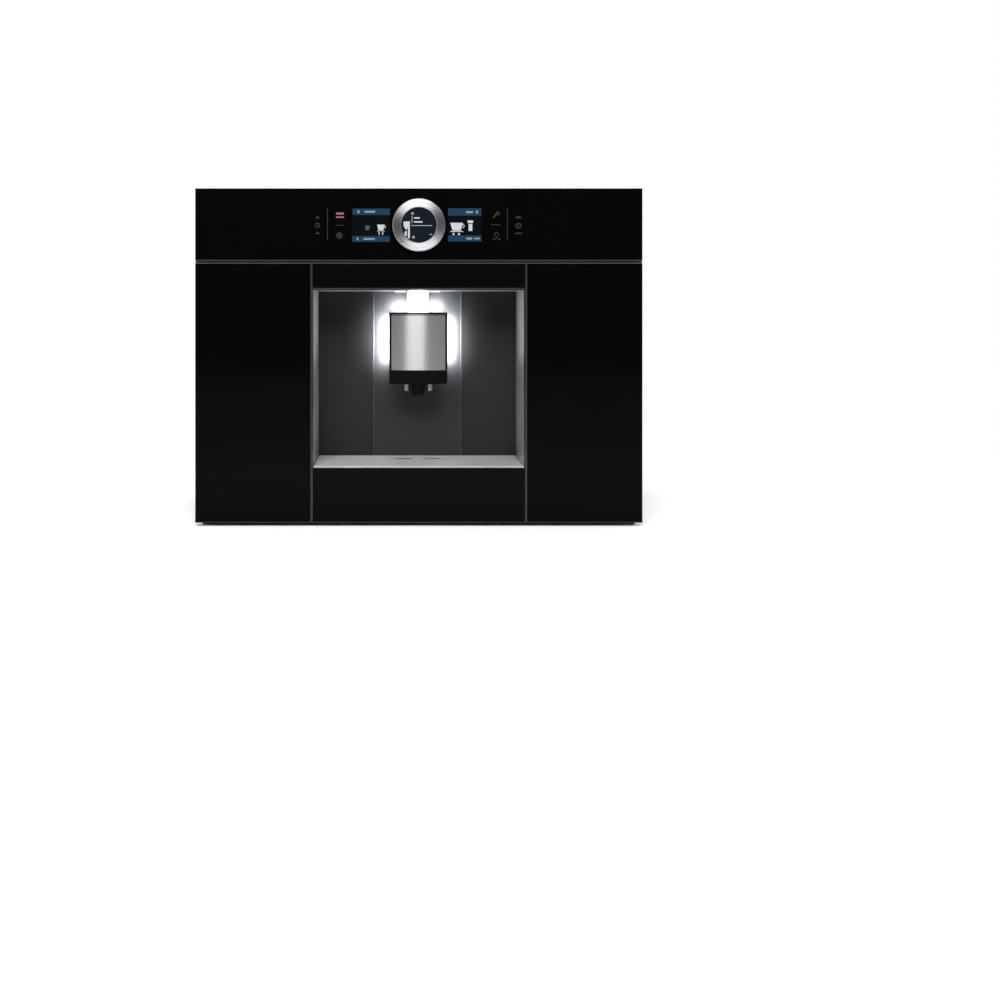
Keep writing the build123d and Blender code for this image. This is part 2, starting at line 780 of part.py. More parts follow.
grounds_left = 36.0
grounds_margin = tray_wall + 2.0
grounds_height = 60.0
grounds_corner = 8.0
with BuildPart() as grounds_container:
    with BuildSketch(Plane.XY.offset(tray_bottom + tray_wall + seat)):
        rect(grounds_left, tray_half - grounds_margin, tray_front + grounds_margin,
             tray_back - grounds_margin)
    extrude(amount=grounds_height)
    fillet(grounds_container.edges().filter_by(Axis.Z), grounds_corner)
    offset(amount=-tray_wall, openings=grounds_container.faces().sort_by(Axis.Z)[-1])
keep(grounds_container, "grounds_container")

# ------------------------------------------------------------------ left bay: water
tank_bottom = shelf_level + seat
tank_top = tank_bottom + tank_height
shelf_setback = 257.5
shelf_back = cabinet_y + shelf_setback
shelf_fold = 14.0
shelf_inner = liner_outer + seat
shelf_front = cabinet_y + lip_depth + 1.0
with BuildPart() as left_shelf:
    with BuildSketch(upright(shelf_back)):
        rect(-inner_side, -shelf_inner, shelf_level - shelf_fold, shelf_level)
        rect(shelf_thickness - inner_side, -shelf_inner - shelf_thickness, shelf_level - shelf_fold,
             shelf_level - shelf_thickness, Mode.SUBTRACT)
    extrude(amount=shelf_back - shelf_front)
keep(left_shelf, "left_shelf")

tank_corner = 10.0
grip_size = (50.0, 18.0)
grip_depth = 9.0
grip_drop = 40.0
with BuildPart() as water_tank:
    with BuildSketch(Plane.XY.offset(tank_bottom)):
        rect(tank_left, tank_right, tank_front, tank_back)
    extrude(amount=tank_height)
    fillet(water_tank.edges().filter_by(Axis.Z), tank_corner)
    with BuildSketch(upright(tank_front + grip_depth)):
        with Locations(((tank_left + tank_right) / 2, tank_top - grip_drop)):
            Rectangle(*grip_size)
    extrude(amount=grip_depth, mode=Mode.SUBTRACT)
    offset(amount=-tank_wall, openings=water_tank.faces().sort_by(Axis.Z)[-1])
keep(water_tank, "water_tank")

lid_thickness = 3.0
lid_depth = 6.0
lid_rim = 2.0
lid_grip = (56.0, 14.0)
lid_grip_depth = 2.0
tank_center = ((tank_left + tank_right) / 2, (tank_front + tank_back) / 2)


def tank_outline(inset):
    """Plan of the tank, drawn in by inset all round."""
    with Locations(tank_center):
        RectangleRounded(tank_right - tank_left - 2 * inset, tank_back - tank_front - 2 * inset,
                         tank_corner - inset)


with BuildPart() as tank_lid:
    with BuildSketch(Plane.XY.offset(tank_top + seat)):
        tank_outline(0)
    extrude(amount=lid_thickness)
    with BuildSketch(Plane.XY.offset(tank_top + seat)):
        tank_outline(tank_wall + seat)
    extrude(amount=-lid_depth)
    with BuildSketch(Plane.XY.offset(tank_top + seat - lid_depth)):
        tank_outline(tank_wall + seat + lid_rim)
    extrude(amount=lid_depth, mode=Mode.SUBTRACT)
    with BuildSketch(Plane.XY.offset(tank_top + seat + lid_thickness)):
        with Locations(tank_center):
            SlotOverall(*lid_grip)
    extrude(amount=-lid_grip_depth, mode=Mode.SUBTRACT)
keep(tank_lid, "tank_lid")

pump_x = -210.0
pump_z = 48.0
pump_gap = 2.0
pump_front = tank_back + pump_gap
pump_length = 100.0
pump_radius = 20.0
coil_size = (52.0, 46.0)
coil_length = 45.0
coil_inset = 25.0
port_radius = 6.0
port_reach = 12.0
foot_half = 14.0
foot_length = 8.0
foot_inset = 8.0
with BuildPart() as pump:
    with BuildSketch(upright(pump_front + pump_length)):
        with Locations((pump_x, pump_z)):
            Circle(pump_radius)
    extrude(amount=pump_length)
    with BuildSketch(upright(pump_front + pump_length - coil_inset)):
        with Locations((pump_x, pump_z)):
            Rectangle(*coil_size)
    extrude(amount=coil_length)
    with BuildSketch(upright(pump_front + pump_length + port_reach)):
        with Locations((pump_x, pump_z)):
            Circle(port_radius)
    extrude(amount=pump_length + 2 * port_reach)
    for start in (pump_front + foot_inset + foot_length, pump_front + pump_length - foot_inset):
        with BuildSketch(upright(start)):
            rect(pump_x - foot_half, pump_x + foot_half, sheet + joint_gap / 2, pump_z)
        extrude(amount=foot_length)
keep(pump, "pump")

block_left = -262.0
block_right = -158.0
block_gap = 22.0
block_depth = 115.0
block_front = tank_back + block_gap
block_back = block_front + block_depth
block_height = 134.0
block_bottom = shelf_level + seat
fin_count = 8
fin_pitch = (block_right - block_left) / fin_count
fin_gap = 6.0
fin_depth = 18.0
inlet_z = 190.0
port_inset = 30.0
outlet_port = (block_back - port_inset, 130.0)
block_port_reach = 6.0
with BuildPart() as thermoblock:
    with BuildSketch(Plane.XY.offset(block_bottom)):
        rect(block_left, block_right, block_front, block_back)
    extrude(amount=block_height)
    with BuildSketch(upright(block_back)):
        with Locations(((block_left + block_right) / 2, block_bottom + block_height)):
            with GridLocations(fin_pitch, 0, fin_count - 1, 1):
                Rectangle(fin_gap, 2 * fin_depth)
    extrude(amount=block_back - block_front, mode=Mode.SUBTRACT)
    with BuildSketch(upright(block_back + block_port_reach)):
        with Locations((pump_x, inlet_z)):
            Circle(port_radius)
    extrude(amount=block_port_reach)
    with BuildSketch(Plane.YZ.offset(block_right)):
        with Locations(outlet_port):
            Circle(port_radius)
    extrude(amount=block_port_reach)
keep(thermoblock, "thermoblock")

# Both hoses are bent to arcs and meet their ports face to face.
hose_radius = 4.0
hose_gap = joint_gap / 2
hose_room = 45.0
hose_turn_y = block_back + hose_room
hose_start = pump_front + pump_length + port_reach + hose_gap
hose_end = block_back + block_port_reach + hose_gap
first_bend = 0.45 * (hose_turn_y - hose_start)
last_bend = 0.45 * (hose_turn_y - hose_end)
with BuildPart() as water_hose:
    with BuildLine() as water_path:
        FilletPolyline((pump_x, hose_start, pump_z), (pump_x, hose_turn_y, pump_z),
                       (pump_x, hose_turn_y, inlet_z), (pump_x, hose_end, inlet_z),
                       radius=[first_bend, last_bend])
    with BuildSketch(upright(hose_start)):
        with Locations((pump_x, pump_z)):
            Circle(hose_radius)
    sweep(path=water_path.wires()[0])
keep(water_hose, "water_hose")

brew_bend = 30.0
brew_hose_start = block_right + block_port_reach + hose_gap
brew_hose_end = brew_back + 2 * hose_gap
with BuildPart() as brew_hose:
    with BuildLine() as brew_path:
        FilletPolyline((brew_hose_start, *outlet_port), (chamber_x, *outlet_port),
                       (chamber_x, brew_hose_end, outlet_port[1]), radius=brew_bend)
    with BuildSketch(Plane.YZ.offset(brew_hose_start)):
        with Locations(outlet_port):
            Circle(hose_radius)
    sweep(path=brew_path.wires()[0])
keep(brew_hose, "brew_hose")

# ------------------------------------------------------------------ right bay: brew unit
lock_x = (brew_left + brew_right) / 2
lock_z = brew_top - brew_deck / 2
apron_height = 42.0
rail_depth = 4.0
rail_half = 3.0
rail_left = brew_left + brew_wall
rib_spacing = 24.0
rib_count = 4
window_size = (26.0, 60.0)
window_spacing = 62.0
window_corner = 6.0
apron_inset = 1.0
lock_pin_reach = 11.0
with BuildPart() as brew_unit_frame:
    with BuildSketch(upright(brew_back)):
        rect(brew_left, brew_right, brew_bottom, brew_top)
    extrude(amount=brew_back - brew_front)
    with BuildSketch(upright(brew_back - brew_wall * 2)):
        rect(brew_left + brew_wall, brew_right - brew_wall, brew_bottom + brew_deck, brew_top - brew_deck)
    extrude(amount=brew_back - brew_front, mode=Mode.SUBTRACT)
    with BuildSketch(upright(brew_front + brew_wall)):
        rect(brew_left + apron_inset, brew_right - apron_inset, brew_bottom + apron_inset,
             brew_bottom + apron_height)
    extrude(amount=brew_wall)
    # The rail on the left wall keeps the cross head from turning.
    with BuildSketch(Plane.XY.offset(brew_bottom + brew_deck / 2)):
        rect(rail_left - brew_wall / 2, rail_left + rail_depth, chamber_y - rail_half, chamber_y + rail_half)
    extrude(amount=brew_top - brew_bottom - brew_deck)
    # Windows lighten the two side walls, and ribs stiffen the back.
    with BuildSketch(Plane.YZ.offset(brew_right)):
        with Locations(((brew_front + brew_back) / 2, (brew_bottom + brew_top) / 2)):
            with GridLocations(window_spacing, 0, 2, 1):
                RectangleRounded(*window_size, window_corner)
    extrude(amount=-brew_wall, mode=Mode.SUBTRACT)
    with BuildSketch(upright(brew_back - brew_wall * 2)):
        with Locations(((brew_left + brew_right) / 2, (brew_bottom + brew_top) / 2)):
            with GridLocations(rib_spacing, 0, rib_count, 1):
                Rectangle(brew_wall, brew_top - brew_bottom - brew_deck)
    extrude(amount=brew_wall)
    with BuildSketch(Plane.XY.offset(brew_bottom + brew_deck / 2)):
        with Locations((spindle_x, chamber_y)):
            Circle(spindle_radius + running)
    extrude(amount=brew_top - brew_bottom - brew_deck, mode=Mode.SUBTRACT)
    with BuildSketch(upright(brew_front + lock_pin_reach + 1)):
        with Locations((lock_x, lock_z)):
            Circle(lock_pin_radius + running)
    extrude(amount=lock_pin_reach + 1, mode=Mode.SUBTRACT)
keep(brew_unit_frame, "brew_unit_frame")

# The chamber is a cup with a funnel rim and a hole for the coffee, on an arm from the frame's back.
chamber_axis = Axis((chamber_x, chamber_y, 0), (0, 0, 1))
chamber_plane = Plane(origin=(chamber_x, chamber_y, 0), x_dir=(1, 0, 0), z_dir=(0, -1, 0))
chamber_outer = chamber_bore + chamber_wall
floor_thickness = 6.0
chamber_floor = chamber_bottom + floor_thickness
funnel_depth = 3.0
coffee_exit_radius = 3.0
arm_half = 12.0
rim_over_arm = 6.0
inner_back = brew_back - 3 * brew_wall - joint_gap
arm_root = chamber_y + chamber_bore + 1.0
with BuildPart() as brew_chamber:
    with BuildSketch(chamber_plane):
        with BuildLine():
            Polyline((coffee_exit_radius, chamber_bottom), (chamber_outer, chamber_bottom),
                     (chamber_outer, chamber_top), (chamber_bore + funnel_depth, chamber_top),
                     (chamber_bore, chamber_top - funnel_depth), (chamber_bore, chamber_floor),
                     (coffee_exit_radius, chamber_floor), close=True)
        make_face()
    revolve(axis=chamber_axis)
    with BuildSketch(Plane.XY.offset(chamber_bottom)):
        rect(chamber_x - arm_half, chamber_x + arm_half, arm_root, inner_back)
    extrude(amount=chamber_top - chamber_bottom - rim_over_arm)
keep(brew_chamber, "brew_chamber")

# Piston with a groove for its seal, a waisted stem and a cross head that the spindle drives.
piston_play = 0.08
piston_radius = chamber_bore - piston_play
piston_bottom = chamber_top - piston_entry
piston_top = piston_bottom + piston_height
cross_rise = 14.0
cross_bottom = chamber_top + piston_travel + cross_rise
cross_play = 2 * seat
cross_height = 8.0
cross_half = 9.0
seal_depth = 1.5
groove_radius = piston_radius - seal_depth
seal_height = 4.0
seal_level = piston_bottom + 5.0
stem_flare = 4.0
stem_radius = 7.0
with BuildPart() as brew_piston:
    with BuildSketch(chamber_plane):
        with BuildLine():
            Polyline((0, piston_bottom), (piston_radius, piston_bottom), (piston_radius, seal_level),
                     (groove_radius, seal_level), (groove_radius, seal_level + seal_height),
                     (piston_radius, seal_level + seal_height), (piston_radius, piston_top),
                     (stem_radius + stem_flare, piston_top), (stem_radius, piston_top + stem_flare),
                     (stem_radius, cross_bottom), (0, cross_bottom), close=True)
        make_face()
    revolve(axis=chamber_axis)
    with BuildSketch(Plane.XY.offset(cross_bottom)):
        rect(rail_left + cross_play, spindle_x, chamber_y - cross_half, chamber_y + cross_half)
        with Locations((spindle_x, chamber_y)):
            Circle(cross_half)
        rect(rail_left, rail_left + rail_depth + seat, chamber_y - rail_half - seat,
             chamber_y + rail_half + seat, Mode.SUBTRACT)
    extrude(amount=cross_height)
    with BuildSketch(Plane.XY.offset(cross_bottom)):
        with Locations((spindle_x, chamber_y)):
            Circle(spindle_radius + running)
    extrude(amount=cross_height, mode=Mode.SUBTRACT)
keep(brew_piston, "brew_piston")

nut_radius = 10.0
nut_height = 8.0
with BuildPart() as brew_spindle:
    with BuildSketch(Plane.XY.offset(brew_bottom + brew_deck / 2 + seat)):
        with Locations((spindle_x, chamber_y)):
            Circle(spindle_radius)
    extrude(amount=brew_top - brew_bottom - brew_deck - 2 * seat)
    with BuildSketch(Plane.XY.offset(brew_bottom + brew_deck + seat)):
        with Locations((spindle_x, chamber_y)):
            RegularPolygon(nut_radius, 6)
    extrude(amount=nut_height)
keep(brew_spindle, "brew_spindle")

lock_thickness = 4.5
lock_width = 14.0
with BuildPart() as brew_lock:
    with BuildSketch(upright(brew_front - seat)):
        with Locations((lock_x, lock_z - lock_arm / 2)):
            SlotCenterToCenter(lock_arm, lock_width, rotation=90)
    extrude(amount=lock_thickness)
    with BuildSketch(upright(brew_front + lock_pin_reach)):
        with Locations((lock_x, lock_z)):
            Circle(lock_pin_radius)
    extrude(amount=lock_pin_reach + seat)
keep(brew_lock, "brew_lock")

# ------------------------------------------------------------------ right bay: grinder
motor_neck = 14.0
right_shelf_setback = 12.5
right_shelf_depth = 225.0
right_shelf_front = cabinet_y + right_shelf_setback
right_shelf_back = right_shelf_front + right_shelf_depth
with BuildPart() as right_shelf:
    with BuildSketch(Plane.XY.offset(grinder_shelf_level - shelf_thickness)):
        rect(shelf_inner, inner_side, right_shelf_front, right_shelf_back)
        with Locations((grinder_x, grinder_y)):
            Circle(motor_neck + seat, mode=Mode.SUBTRACT)
    extrude(amount=shelf_thickness)
keep(right_shelf, "right_shelf")

motor_top = grinder_shelf_level
motor_flange = motor_top - shelf_thickness - seat
motor_flange_radius = motor_radius + 8.0
motor_flange_thickness = 4.0
shaft_engagement = 24.0
with BuildPart() as grinder_motor:
    with BuildSketch(Plane.XZ):
        with BuildLine():
            Polyline((burr_shaft_radius + running, motor_top), (motor_neck, motor_top),
                     (motor_neck, motor_flange), (motor_flange_radius, motor_flange),
                     (motor_flange_radius, motor_flange - motor_flange_thickness),
                     (motor_radius, motor_flange - motor_flange_thickness),
                     (motor_radius, motor_top - motor_height), (0, motor_top - motor_height),
                     (0, motor_top - shaft_engagement),
                     (burr_shaft_radius + running, motor_top - shaft_engagement), close=True)
        make_face()
    revolve(axis=Axis.Z)
grinder_motor.part.position = (grinder_x, grinder_y, 0)
keep(grinder_motor, "grinder_motor")

housing_bottom = grinder_shelf_level + seat
housing_top = housing_bottom + grinder_height
throat_radius = 14.0
shaft_hole_radius = 7.0
grinder_floor = 5.0
grinder_bore = grinder_radius - grinder_wall
with BuildPart() as grinder_housing:
    with BuildSketch(Plane.XZ):
        with BuildLine():
            Polyline((shaft_hole_radius, housing_bottom), (grinder_radius, housing_bottom),
                     (grinder_radius, housing_top), (throat_radius, housing_top),
                     (throat_radius, housing_top - grinder_wall), (grinder_bore, housing_top - grinder_wall),
                     (grinder_bore, housing_bottom + grinder_floor),
                     (shaft_hole_radius, housing_bottom + grinder_floor), close=True)
        make_face()
    revolve(axis=Axis.Z)
grinder_housing.part.position = (grinder_x, grinder_y, 0)
keep(grinder_housing, "grinder_housing")

burr_bottom = housing_bottom + 24.0
burr_rim = grinder_bore - seat
cone_tip_radius = 10.0
cone_tip_rise = 6.0
burr_height = 18.0
ring_bore_bottom = 21.0
ring_bore_top = 25.0
burr_gap = 0.8
shaft_end = motor_top - shaft_engagement + 1.0
with BuildPart() as burr_ring:
    with BuildSketch(Plane.XZ):
        with BuildLine():
            Polyline((ring_bore_bottom, burr_bottom), (burr_rim, burr_bottom),
                     (burr_rim, burr_bottom + burr_height), (ring_bore_top, burr_bottom + burr_height),
                     close=True)
        make_face()
    revolve(axis=Axis.Z)
burr_ring.part.position = (grinder_x, grinder_y, 0)
keep(burr_ring, "burr_ring")

with BuildPart() as burr_cone:
    with BuildSketch(Plane.XZ):
        with BuildLine():
            Polyline((0, shaft_end), (burr_shaft_radius, shaft_end), (burr_shaft_radius, burr_bottom),
                     (ring_bore_bottom - burr_gap, burr_bottom),
                     (cone_tip_radius, burr_bottom + burr_height + cone_tip_rise),
                     (0, burr_bottom + burr_height + cone_tip_rise), close=True)
        make_face()
    revolve(axis=Axis.Z)
burr_cone.part.position = (grinder_x, grinder_y, 0)
keep(burr_cone, "burr_cone")

bean_front = brew_front - 2.0
bean_back = grinder_y + grinder_radius + 5.0
bean_corner = 8.0
bean_lid_thickness = 2.0
bean_grip = (64.0, 5.0)
bean_grip_reach = 2.5
with BuildPart() as bean_container:
    with BuildSketch(Plane.XY.offset(bean_bottom)):
        rect(bean_left, bean_right, bean_front, bean_back)
    extrude(amount=bean_height)
    fillet(bean_container.edges().filter_by(Axis.Z), bean_corner)
    offset(amount=-tray_wall, openings=bean_container.faces().sort_by(Axis.Z)[-1])
    with BuildSketch(Plane.XY.offset(bean_bottom)):
        with Locations((grinder_x, grinder_y)):
            Circle(throat_radius)
    extrude(amount=tray_wall, mode=Mode.SUBTRACT)
    with BuildSketch(upright(bean_front)):
        with Locations(((bean_left + bean_right) / 2, bean_bottom + bean_height / 3)):
            Rectangle(*bean_grip)
    extrude(amount=bean_grip_reach)
keep(bean_container, "bean_container")

with BuildPart() as bean_lid:
    with BuildSketch(Plane.XY.offset(bean_bottom + bean_height + seat)):
        with Locations(((bean_left + bean_right) / 2, (bean_front + bean_back) / 2)):
            RectangleRounded(bean_right - bean_left, bean_back - bean_front, bean_corner)
    extrude(amount=bean_lid_thickness)
keep(bean_lid, "bean_lid")

rod_radius = 3.0
rod_reach = grinder_x - selector_x - rod_radius
rod_end = grinder_y - (grinder_radius**2 - rod_reach**2) ** 0.5 - 2 * seat
knob_front = flange_y - 0.4
knob_back = cabinet_y + 6.0
knob_handle = (4.0, 18.0)
knob_handle_reach = 0.9
with BuildPart() as grind_selector:
    with BuildSketch(upright(knob_back)):
        with Locations((selector_x, selector_z)):
            Circle(selector_radius)
    extrude(amount=knob_back - knob_front)
    with BuildSketch(upright(knob_front)):
        with Locations((selector_x, selector_z)):
            Rectangle(*knob_handle)
    extrude(amount=knob_handle_reach)
    with BuildSketch(upright(rod_end)):
        with Locations((selector_x, selector_z)):
            Circle(rod_radius)
    extrude(amount=rod_end - knob_back)
keep(grind_selector, "grind_selector")

# ------------------------------------------------------------------ control panel
housing_wall = 2.5
housing_back = cabinet_y - housing_wall
post_width = 6.0
post_inset = 6.0
board_thickness = 1.6
board_y = housing_back - 5.0
board_size = (300.0, 72.0)
post_spacing = (board_size[0] - 2 * post_inset, board_size[1] - 2 * post_inset)
lip_drop = reveal - seat  # the drip lip nearly closes the gap over the door
lip_thickness = 4.0
cable_slot = (60.0, 20.0)
cable_slot_offset = 210.0
with BuildPart() as control_housing:
    with BuildSketch(upright(cabinet_y)):
        rect(-face_half, face_half, panel_bottom, face_height)
    extrude(amount=cabinet_y - core_y)
    with BuildSketch(upright(core_y + lip_thickness)):
        rect(-face_half, face_half, panel_bottom - lip_drop, panel_bottom)
    extrude(amount=lip_thickness)
    with BuildSketch(upright(housing_back)):
        rect(housing_wall - face_half, face_half - housing_wall, panel_bottom + housing_wall,
             face_height - housing_wall)
    extrude(amount=housing_back - core_y, mode=Mode.SUBTRACT)
    with BuildSketch(upright(housing_back)):
        with Locations((0, ring_height)):
            with GridLocations(*post_spacing, 2, 2):
                Rectangle(post_width, post_width)
    extrude(amount=housing_back - board_y)
    with BuildSketch(upright(cabinet_y)):
        for side in (-1, 1):
            with Locations((side * cable_slot_offset, ring_height)):
                Rectangle(*cable_slot)
    extrude(amount=housing_wall, mode=Mode.SUBTRACT)
keep(control_housing, "control_housing")

sleeve_outer = hub_radius + sleeve_wall
with BuildPart() as control_glass:
    with BuildSketch(upright(core_y)):
        rect(-face_half, face_half, panel_bottom, face_height)
    extrude(amount=glass_thickness)
    chamfer(control_glass.faces().sort_by(Axis.Y)[0].edges(), edge_break)
    with BuildSketch(upright(core_y)):
        with Locations((0, ring_height)):
            Circle(sleeve_outer + 2 * seat)
    extrude(amount=glass_thickness, mode=Mode.SUBTRACT)
keep(control_glass, "control_glass")

board_front = board_y - board_thickness
board_hole_radius = 32.0
chip_size = (14.0, 14.0)
connector_size = (22.0, 7.0)
chip_height = 2.5
chip_spots = ((-120.0, ring_height - 10), (118.0, ring_height + 8))
connector_spots = ((105.0, ring_height - 20), (-108.0, ring_height + 18))
with BuildPart() as control_board:
    with BuildSketch(upright(board_y)):
        with Locations((0, ring_height)):
            Rectangle(*board_size)
            Circle(board_hole_radius, mode=Mode.SUBTRACT)
    extrude(amount=board_thickness)
    with BuildSketch(upright(board_front)):
        with Locations(*chip_spots):
            Rectangle(*chip_size)
        with Locations(*connector_spots):
            Rectangle(*connector_size)
    extrude(amount=chip_height)
keep(control_board, "control_board")

display_centers = ((-63.0, ring_height + 0.5), (61.0, ring_height + 0.5))
display_size = (52.0, 47.0)
with BuildPart() as side_displays:
    with BuildSketch(upright(board_front - seat)):
        with Locations(*display_centers):
            Rectangle(*display_size)
    extrude(amount=board_front - core_y - 2 * seat)
keep(side_displays, "side_displays")

hub_front = glass_y - 4.8
hub_flange_radius = 30.0
hub_flange_thickness = 2.0
hub_bore = hub_radius - hub_wall
lens_thickness = 1.2
lens_depth = 6.0
with BuildPart() as ring_hub:
    with BuildSketch(upright(housing_back)):
        with Locations((0, ring_height)):
            Circle(hub_flange_radius)
    extrude(amount=hub_flange_thickness)
    with BuildSketch(upright(housing_back)):
        with Locations((0, ring_height)):
            Circle(hub_radius)
    extrude(amount=housing_back - hub_front)
    with BuildSketch(upright(housing_back)):
        with Locations((0, ring_height)):
            Circle(hub_bore)
    extrude(amount=housing_back - hub_front, mode=Mode.SUBTRACT)
keep(ring_hub, "ring_hub")

with BuildPart() as display_centre:
    with BuildSketch(upright(hub_front)):
        with Locations((0, ring_height)):
            Circle(ring_inner_radius - seat)
    extrude(amount=lens_thickness)
    with BuildSketch(upright(hub_front + lens_depth)):
        with Locations((0, ring_height)):
            Circle(hub_bore - joint_gap)
    extrude(amount=lens_depth)
keep(display_centre, "display_centre")

# Lathe-turned ring: a flat brushed face with fine chamfers, and a sleeve that turns on the hub.
ring_back = ring_face_y + ring_depth
sleeve_front = hub_front + seat
sleeve_back = housing_back - hub_flange_thickness - 2 * seat
ring_edge = 0.8
with BuildPart() as selector_ring:
    with BuildSketch(Plane.XY):
        with BuildLine():
            Polyline((ring_inner_radius, sleeve_front), (ring_inner_radius, ring_face_y + ring_edge),
                     (ring_inner_radius + ring_edge, ring_face_y),
                     (ring_outer_radius - ring_edge, ring_face_y),
                     (ring_outer_radius, ring_face_y + ring_edge), (ring_outer_radius, ring_back),
                     (sleeve_outer, ring_back), (sleeve_outer, sleeve_back),
                     (hub_radius + running, sleeve_back), (hub_radius + running, sleeve_front), close=True)
        make_face()
    revolve(axis=Axis.Y)
selector_ring.part.position = (0, 0, ring_height)
keep(selector_ring, "selector_ring")

# ------------------------------------------------------------------ power board
power_board_y = cover_sheet_y - 12.0
power_board_size = (220.0, 140.0)
power_board_center = (0.0, 200.0)
power_post_spacing = (power_board_size[0] - 2 * post_inset, power_board_size[1] - 2 * post_inset)
power_front = power_board_y - board_thickness
block_rise = 34.0
transformer_spot = (-70.0, 172.0)
transformer_size = (50.0, 45.0)
relay_spot = (35.0, 170.0)
relay_size = (30.0, 40.0)
capacitor_spots = ((-70.0, 235.0), (80.0, 190.0))
capacitor_radius = 11.0
capacitor_rise = 26.0
with BuildPart() as power_board:
    with BuildSketch(upright(power_board_y)):
        with Locations(power_board_center):
            Rectangle(*power_board_size)
    extrude(amount=board_thickness)
    with BuildSketch(upright(cover_sheet_y - joint_gap / 2)):
        with Locations(power_board_center):
            with GridLocations(*power_post_spacing, 2, 2):
                Rectangle(post_width, post_width)
    extrude(amount=cover_sheet_y - joint_gap / 2 - power_board_y)
    with BuildSketch(upright(power_front)):
        with Locations(transformer_spot):
            Rectangle(*transformer_size)
        with Locations(relay_spot):
            Rectangle(*relay_size)
    extrude(amount=block_rise)
    with BuildSketch(upright(power_front)):
        with Locations(*capacitor_spots):
            Circle(capacitor_radius)
    extrude(amount=capacitor_rise)
keep(power_board, "power_board")

# ------------------------------------------------------------------ write every piece
for piece in pieces:
    export_step(piece.part, f"parts/{piece.part.label}.step")

print(f"{len(pieces)} pieces")
print(f"brew piston: {piston_lead / (2 * pi) / 1000:.6f} m per radian of the spindle")
print(f"water hose radii: {first_bend:.1f} and {last_bend:.1f} mm")
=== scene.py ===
# %% [markdown]
# # A built-in coffee machine in a black glass front
#
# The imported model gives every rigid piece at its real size: glass fields, door frame, hinges, tank,
# brew unit and housings. This lesson gives them their looks. Each finish is mixed from nodes, and
# what is too fine for the frame, such as the symbols behind the glass or the thread of the brewing
# spindle, is made here and rides on the piece that carries it.

# %% Load the frame
import bpy
import bmesh
import math
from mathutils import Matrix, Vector


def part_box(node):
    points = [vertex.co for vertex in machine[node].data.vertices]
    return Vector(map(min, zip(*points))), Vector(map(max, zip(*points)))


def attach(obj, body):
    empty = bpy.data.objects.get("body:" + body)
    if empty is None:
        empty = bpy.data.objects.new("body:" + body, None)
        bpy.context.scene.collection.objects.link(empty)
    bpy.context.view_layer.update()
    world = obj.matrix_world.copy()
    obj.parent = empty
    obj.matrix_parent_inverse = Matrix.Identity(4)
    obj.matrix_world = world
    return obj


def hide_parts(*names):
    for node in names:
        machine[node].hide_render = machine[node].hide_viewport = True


MM = 0.001
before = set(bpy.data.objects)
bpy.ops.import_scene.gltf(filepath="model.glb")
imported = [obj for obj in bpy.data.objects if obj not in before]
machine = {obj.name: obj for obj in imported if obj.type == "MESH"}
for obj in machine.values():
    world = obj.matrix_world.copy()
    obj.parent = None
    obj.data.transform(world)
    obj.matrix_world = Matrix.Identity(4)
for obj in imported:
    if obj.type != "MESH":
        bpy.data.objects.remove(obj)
scene = bpy.context.scene
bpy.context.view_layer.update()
print("pieces in the frame:", len(machine))

# %% [markdown]
# The photograph was taken straight on, with the lens a little left of the middle and at about two
# thirds of the machine's height. A tilted camera would make its verticals lean. In the photograph
# they stand upright, so the camera looks level along +Y and the picture is framed with lens shift,
# as an architectural photographer does.

# %% Camera
glass_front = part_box("control_glass")[0].y
camera_distance = 1.730
camera_left, camera_height = 29 * MM, 287.5 * MM
lens = bpy.data.cameras.new("studio_lens")
lens.lens = 46.9
lens.sensor_width = 36.0
lens.shift_x = 0.103
lens.shift_y = -0.19
camera = bpy.data.objects.new("studio_camera", lens)
camera.location = (-camera_left, glass_front - camera_distance, camera_height)
camera.rotation_euler = (math.radians(90), 0, 0)
scene.collection.objects.link(camera)
scene.camera = camera
print("camera stands", round(-camera.location.y, 3), "m in front of the machine's middle")

# %% [markdown]
# Every look here is a tree of nodes, for the world's light as for the finishes and for the pieces
# that Geometry Nodes grow. Each node could be set up line by line. One helper is shorter: it makes a
# node and fills its inputs, each with a link when it is given a socket, or else with a plain value.

# %% Node helpers
def fill(made, inputs):
    """Fills a node's inputs: a socket makes a link, anything else is a plain value."""
    for key, value in inputs.items():
        if isinstance(value, bpy.types.NodeSocket):
            made.id_data.links.new(value, made.inputs[key])
        else:
            made.inputs[key].default_value = value


def node(tree, kind, inputs=None, **settings):
    """A node of the tree's own family, shader or geometry, with its settings and inputs."""
    made = tree.nodes.new(tree.bl_idname.removesuffix("Tree") + kind)
    for key, value in settings.items():
        setattr(made, key, value)
    fill(made, inputs or {})
    return made


def maths(tree, operation, *values):
    """The result of a Math node on sockets or numbers. Geometry trees share the shaders' one."""
    made = tree.nodes.new("ShaderNodeMath")
    made.operation = operation
    fill(made, dict(enumerate(values)))
    return made.outputs[0]


def squeeze(tree, value, low, high, from_low=0.3, from_high=0.7, curve="LINEAR"):
    """Brings a value from one range into the range low to high."""
    limits = {"Value": value, "From Min": from_low, "From Max": from_high, "To Min": low, "To Max": high}
    return node(tree, "MapRange", limits, interpolation_type=curve).outputs["Result"]


def axes(tree, vector):
    """The X, Y and Z of a vector."""
    return node(tree, "SeparateXYZ", {0: vector}).outputs


def white_rays(tree):
    """1 for the rays that should see white: camera rays, glossy rays and rays through clear plastic."""
    ray = node(tree, "LightPath").outputs
    straight = maths(tree, "MAXIMUM", ray["Is Camera Ray"], ray["Is Transmission Ray"])
    return maths(tree, "MAXIMUM", straight, ray["Is Glossy Ray"])


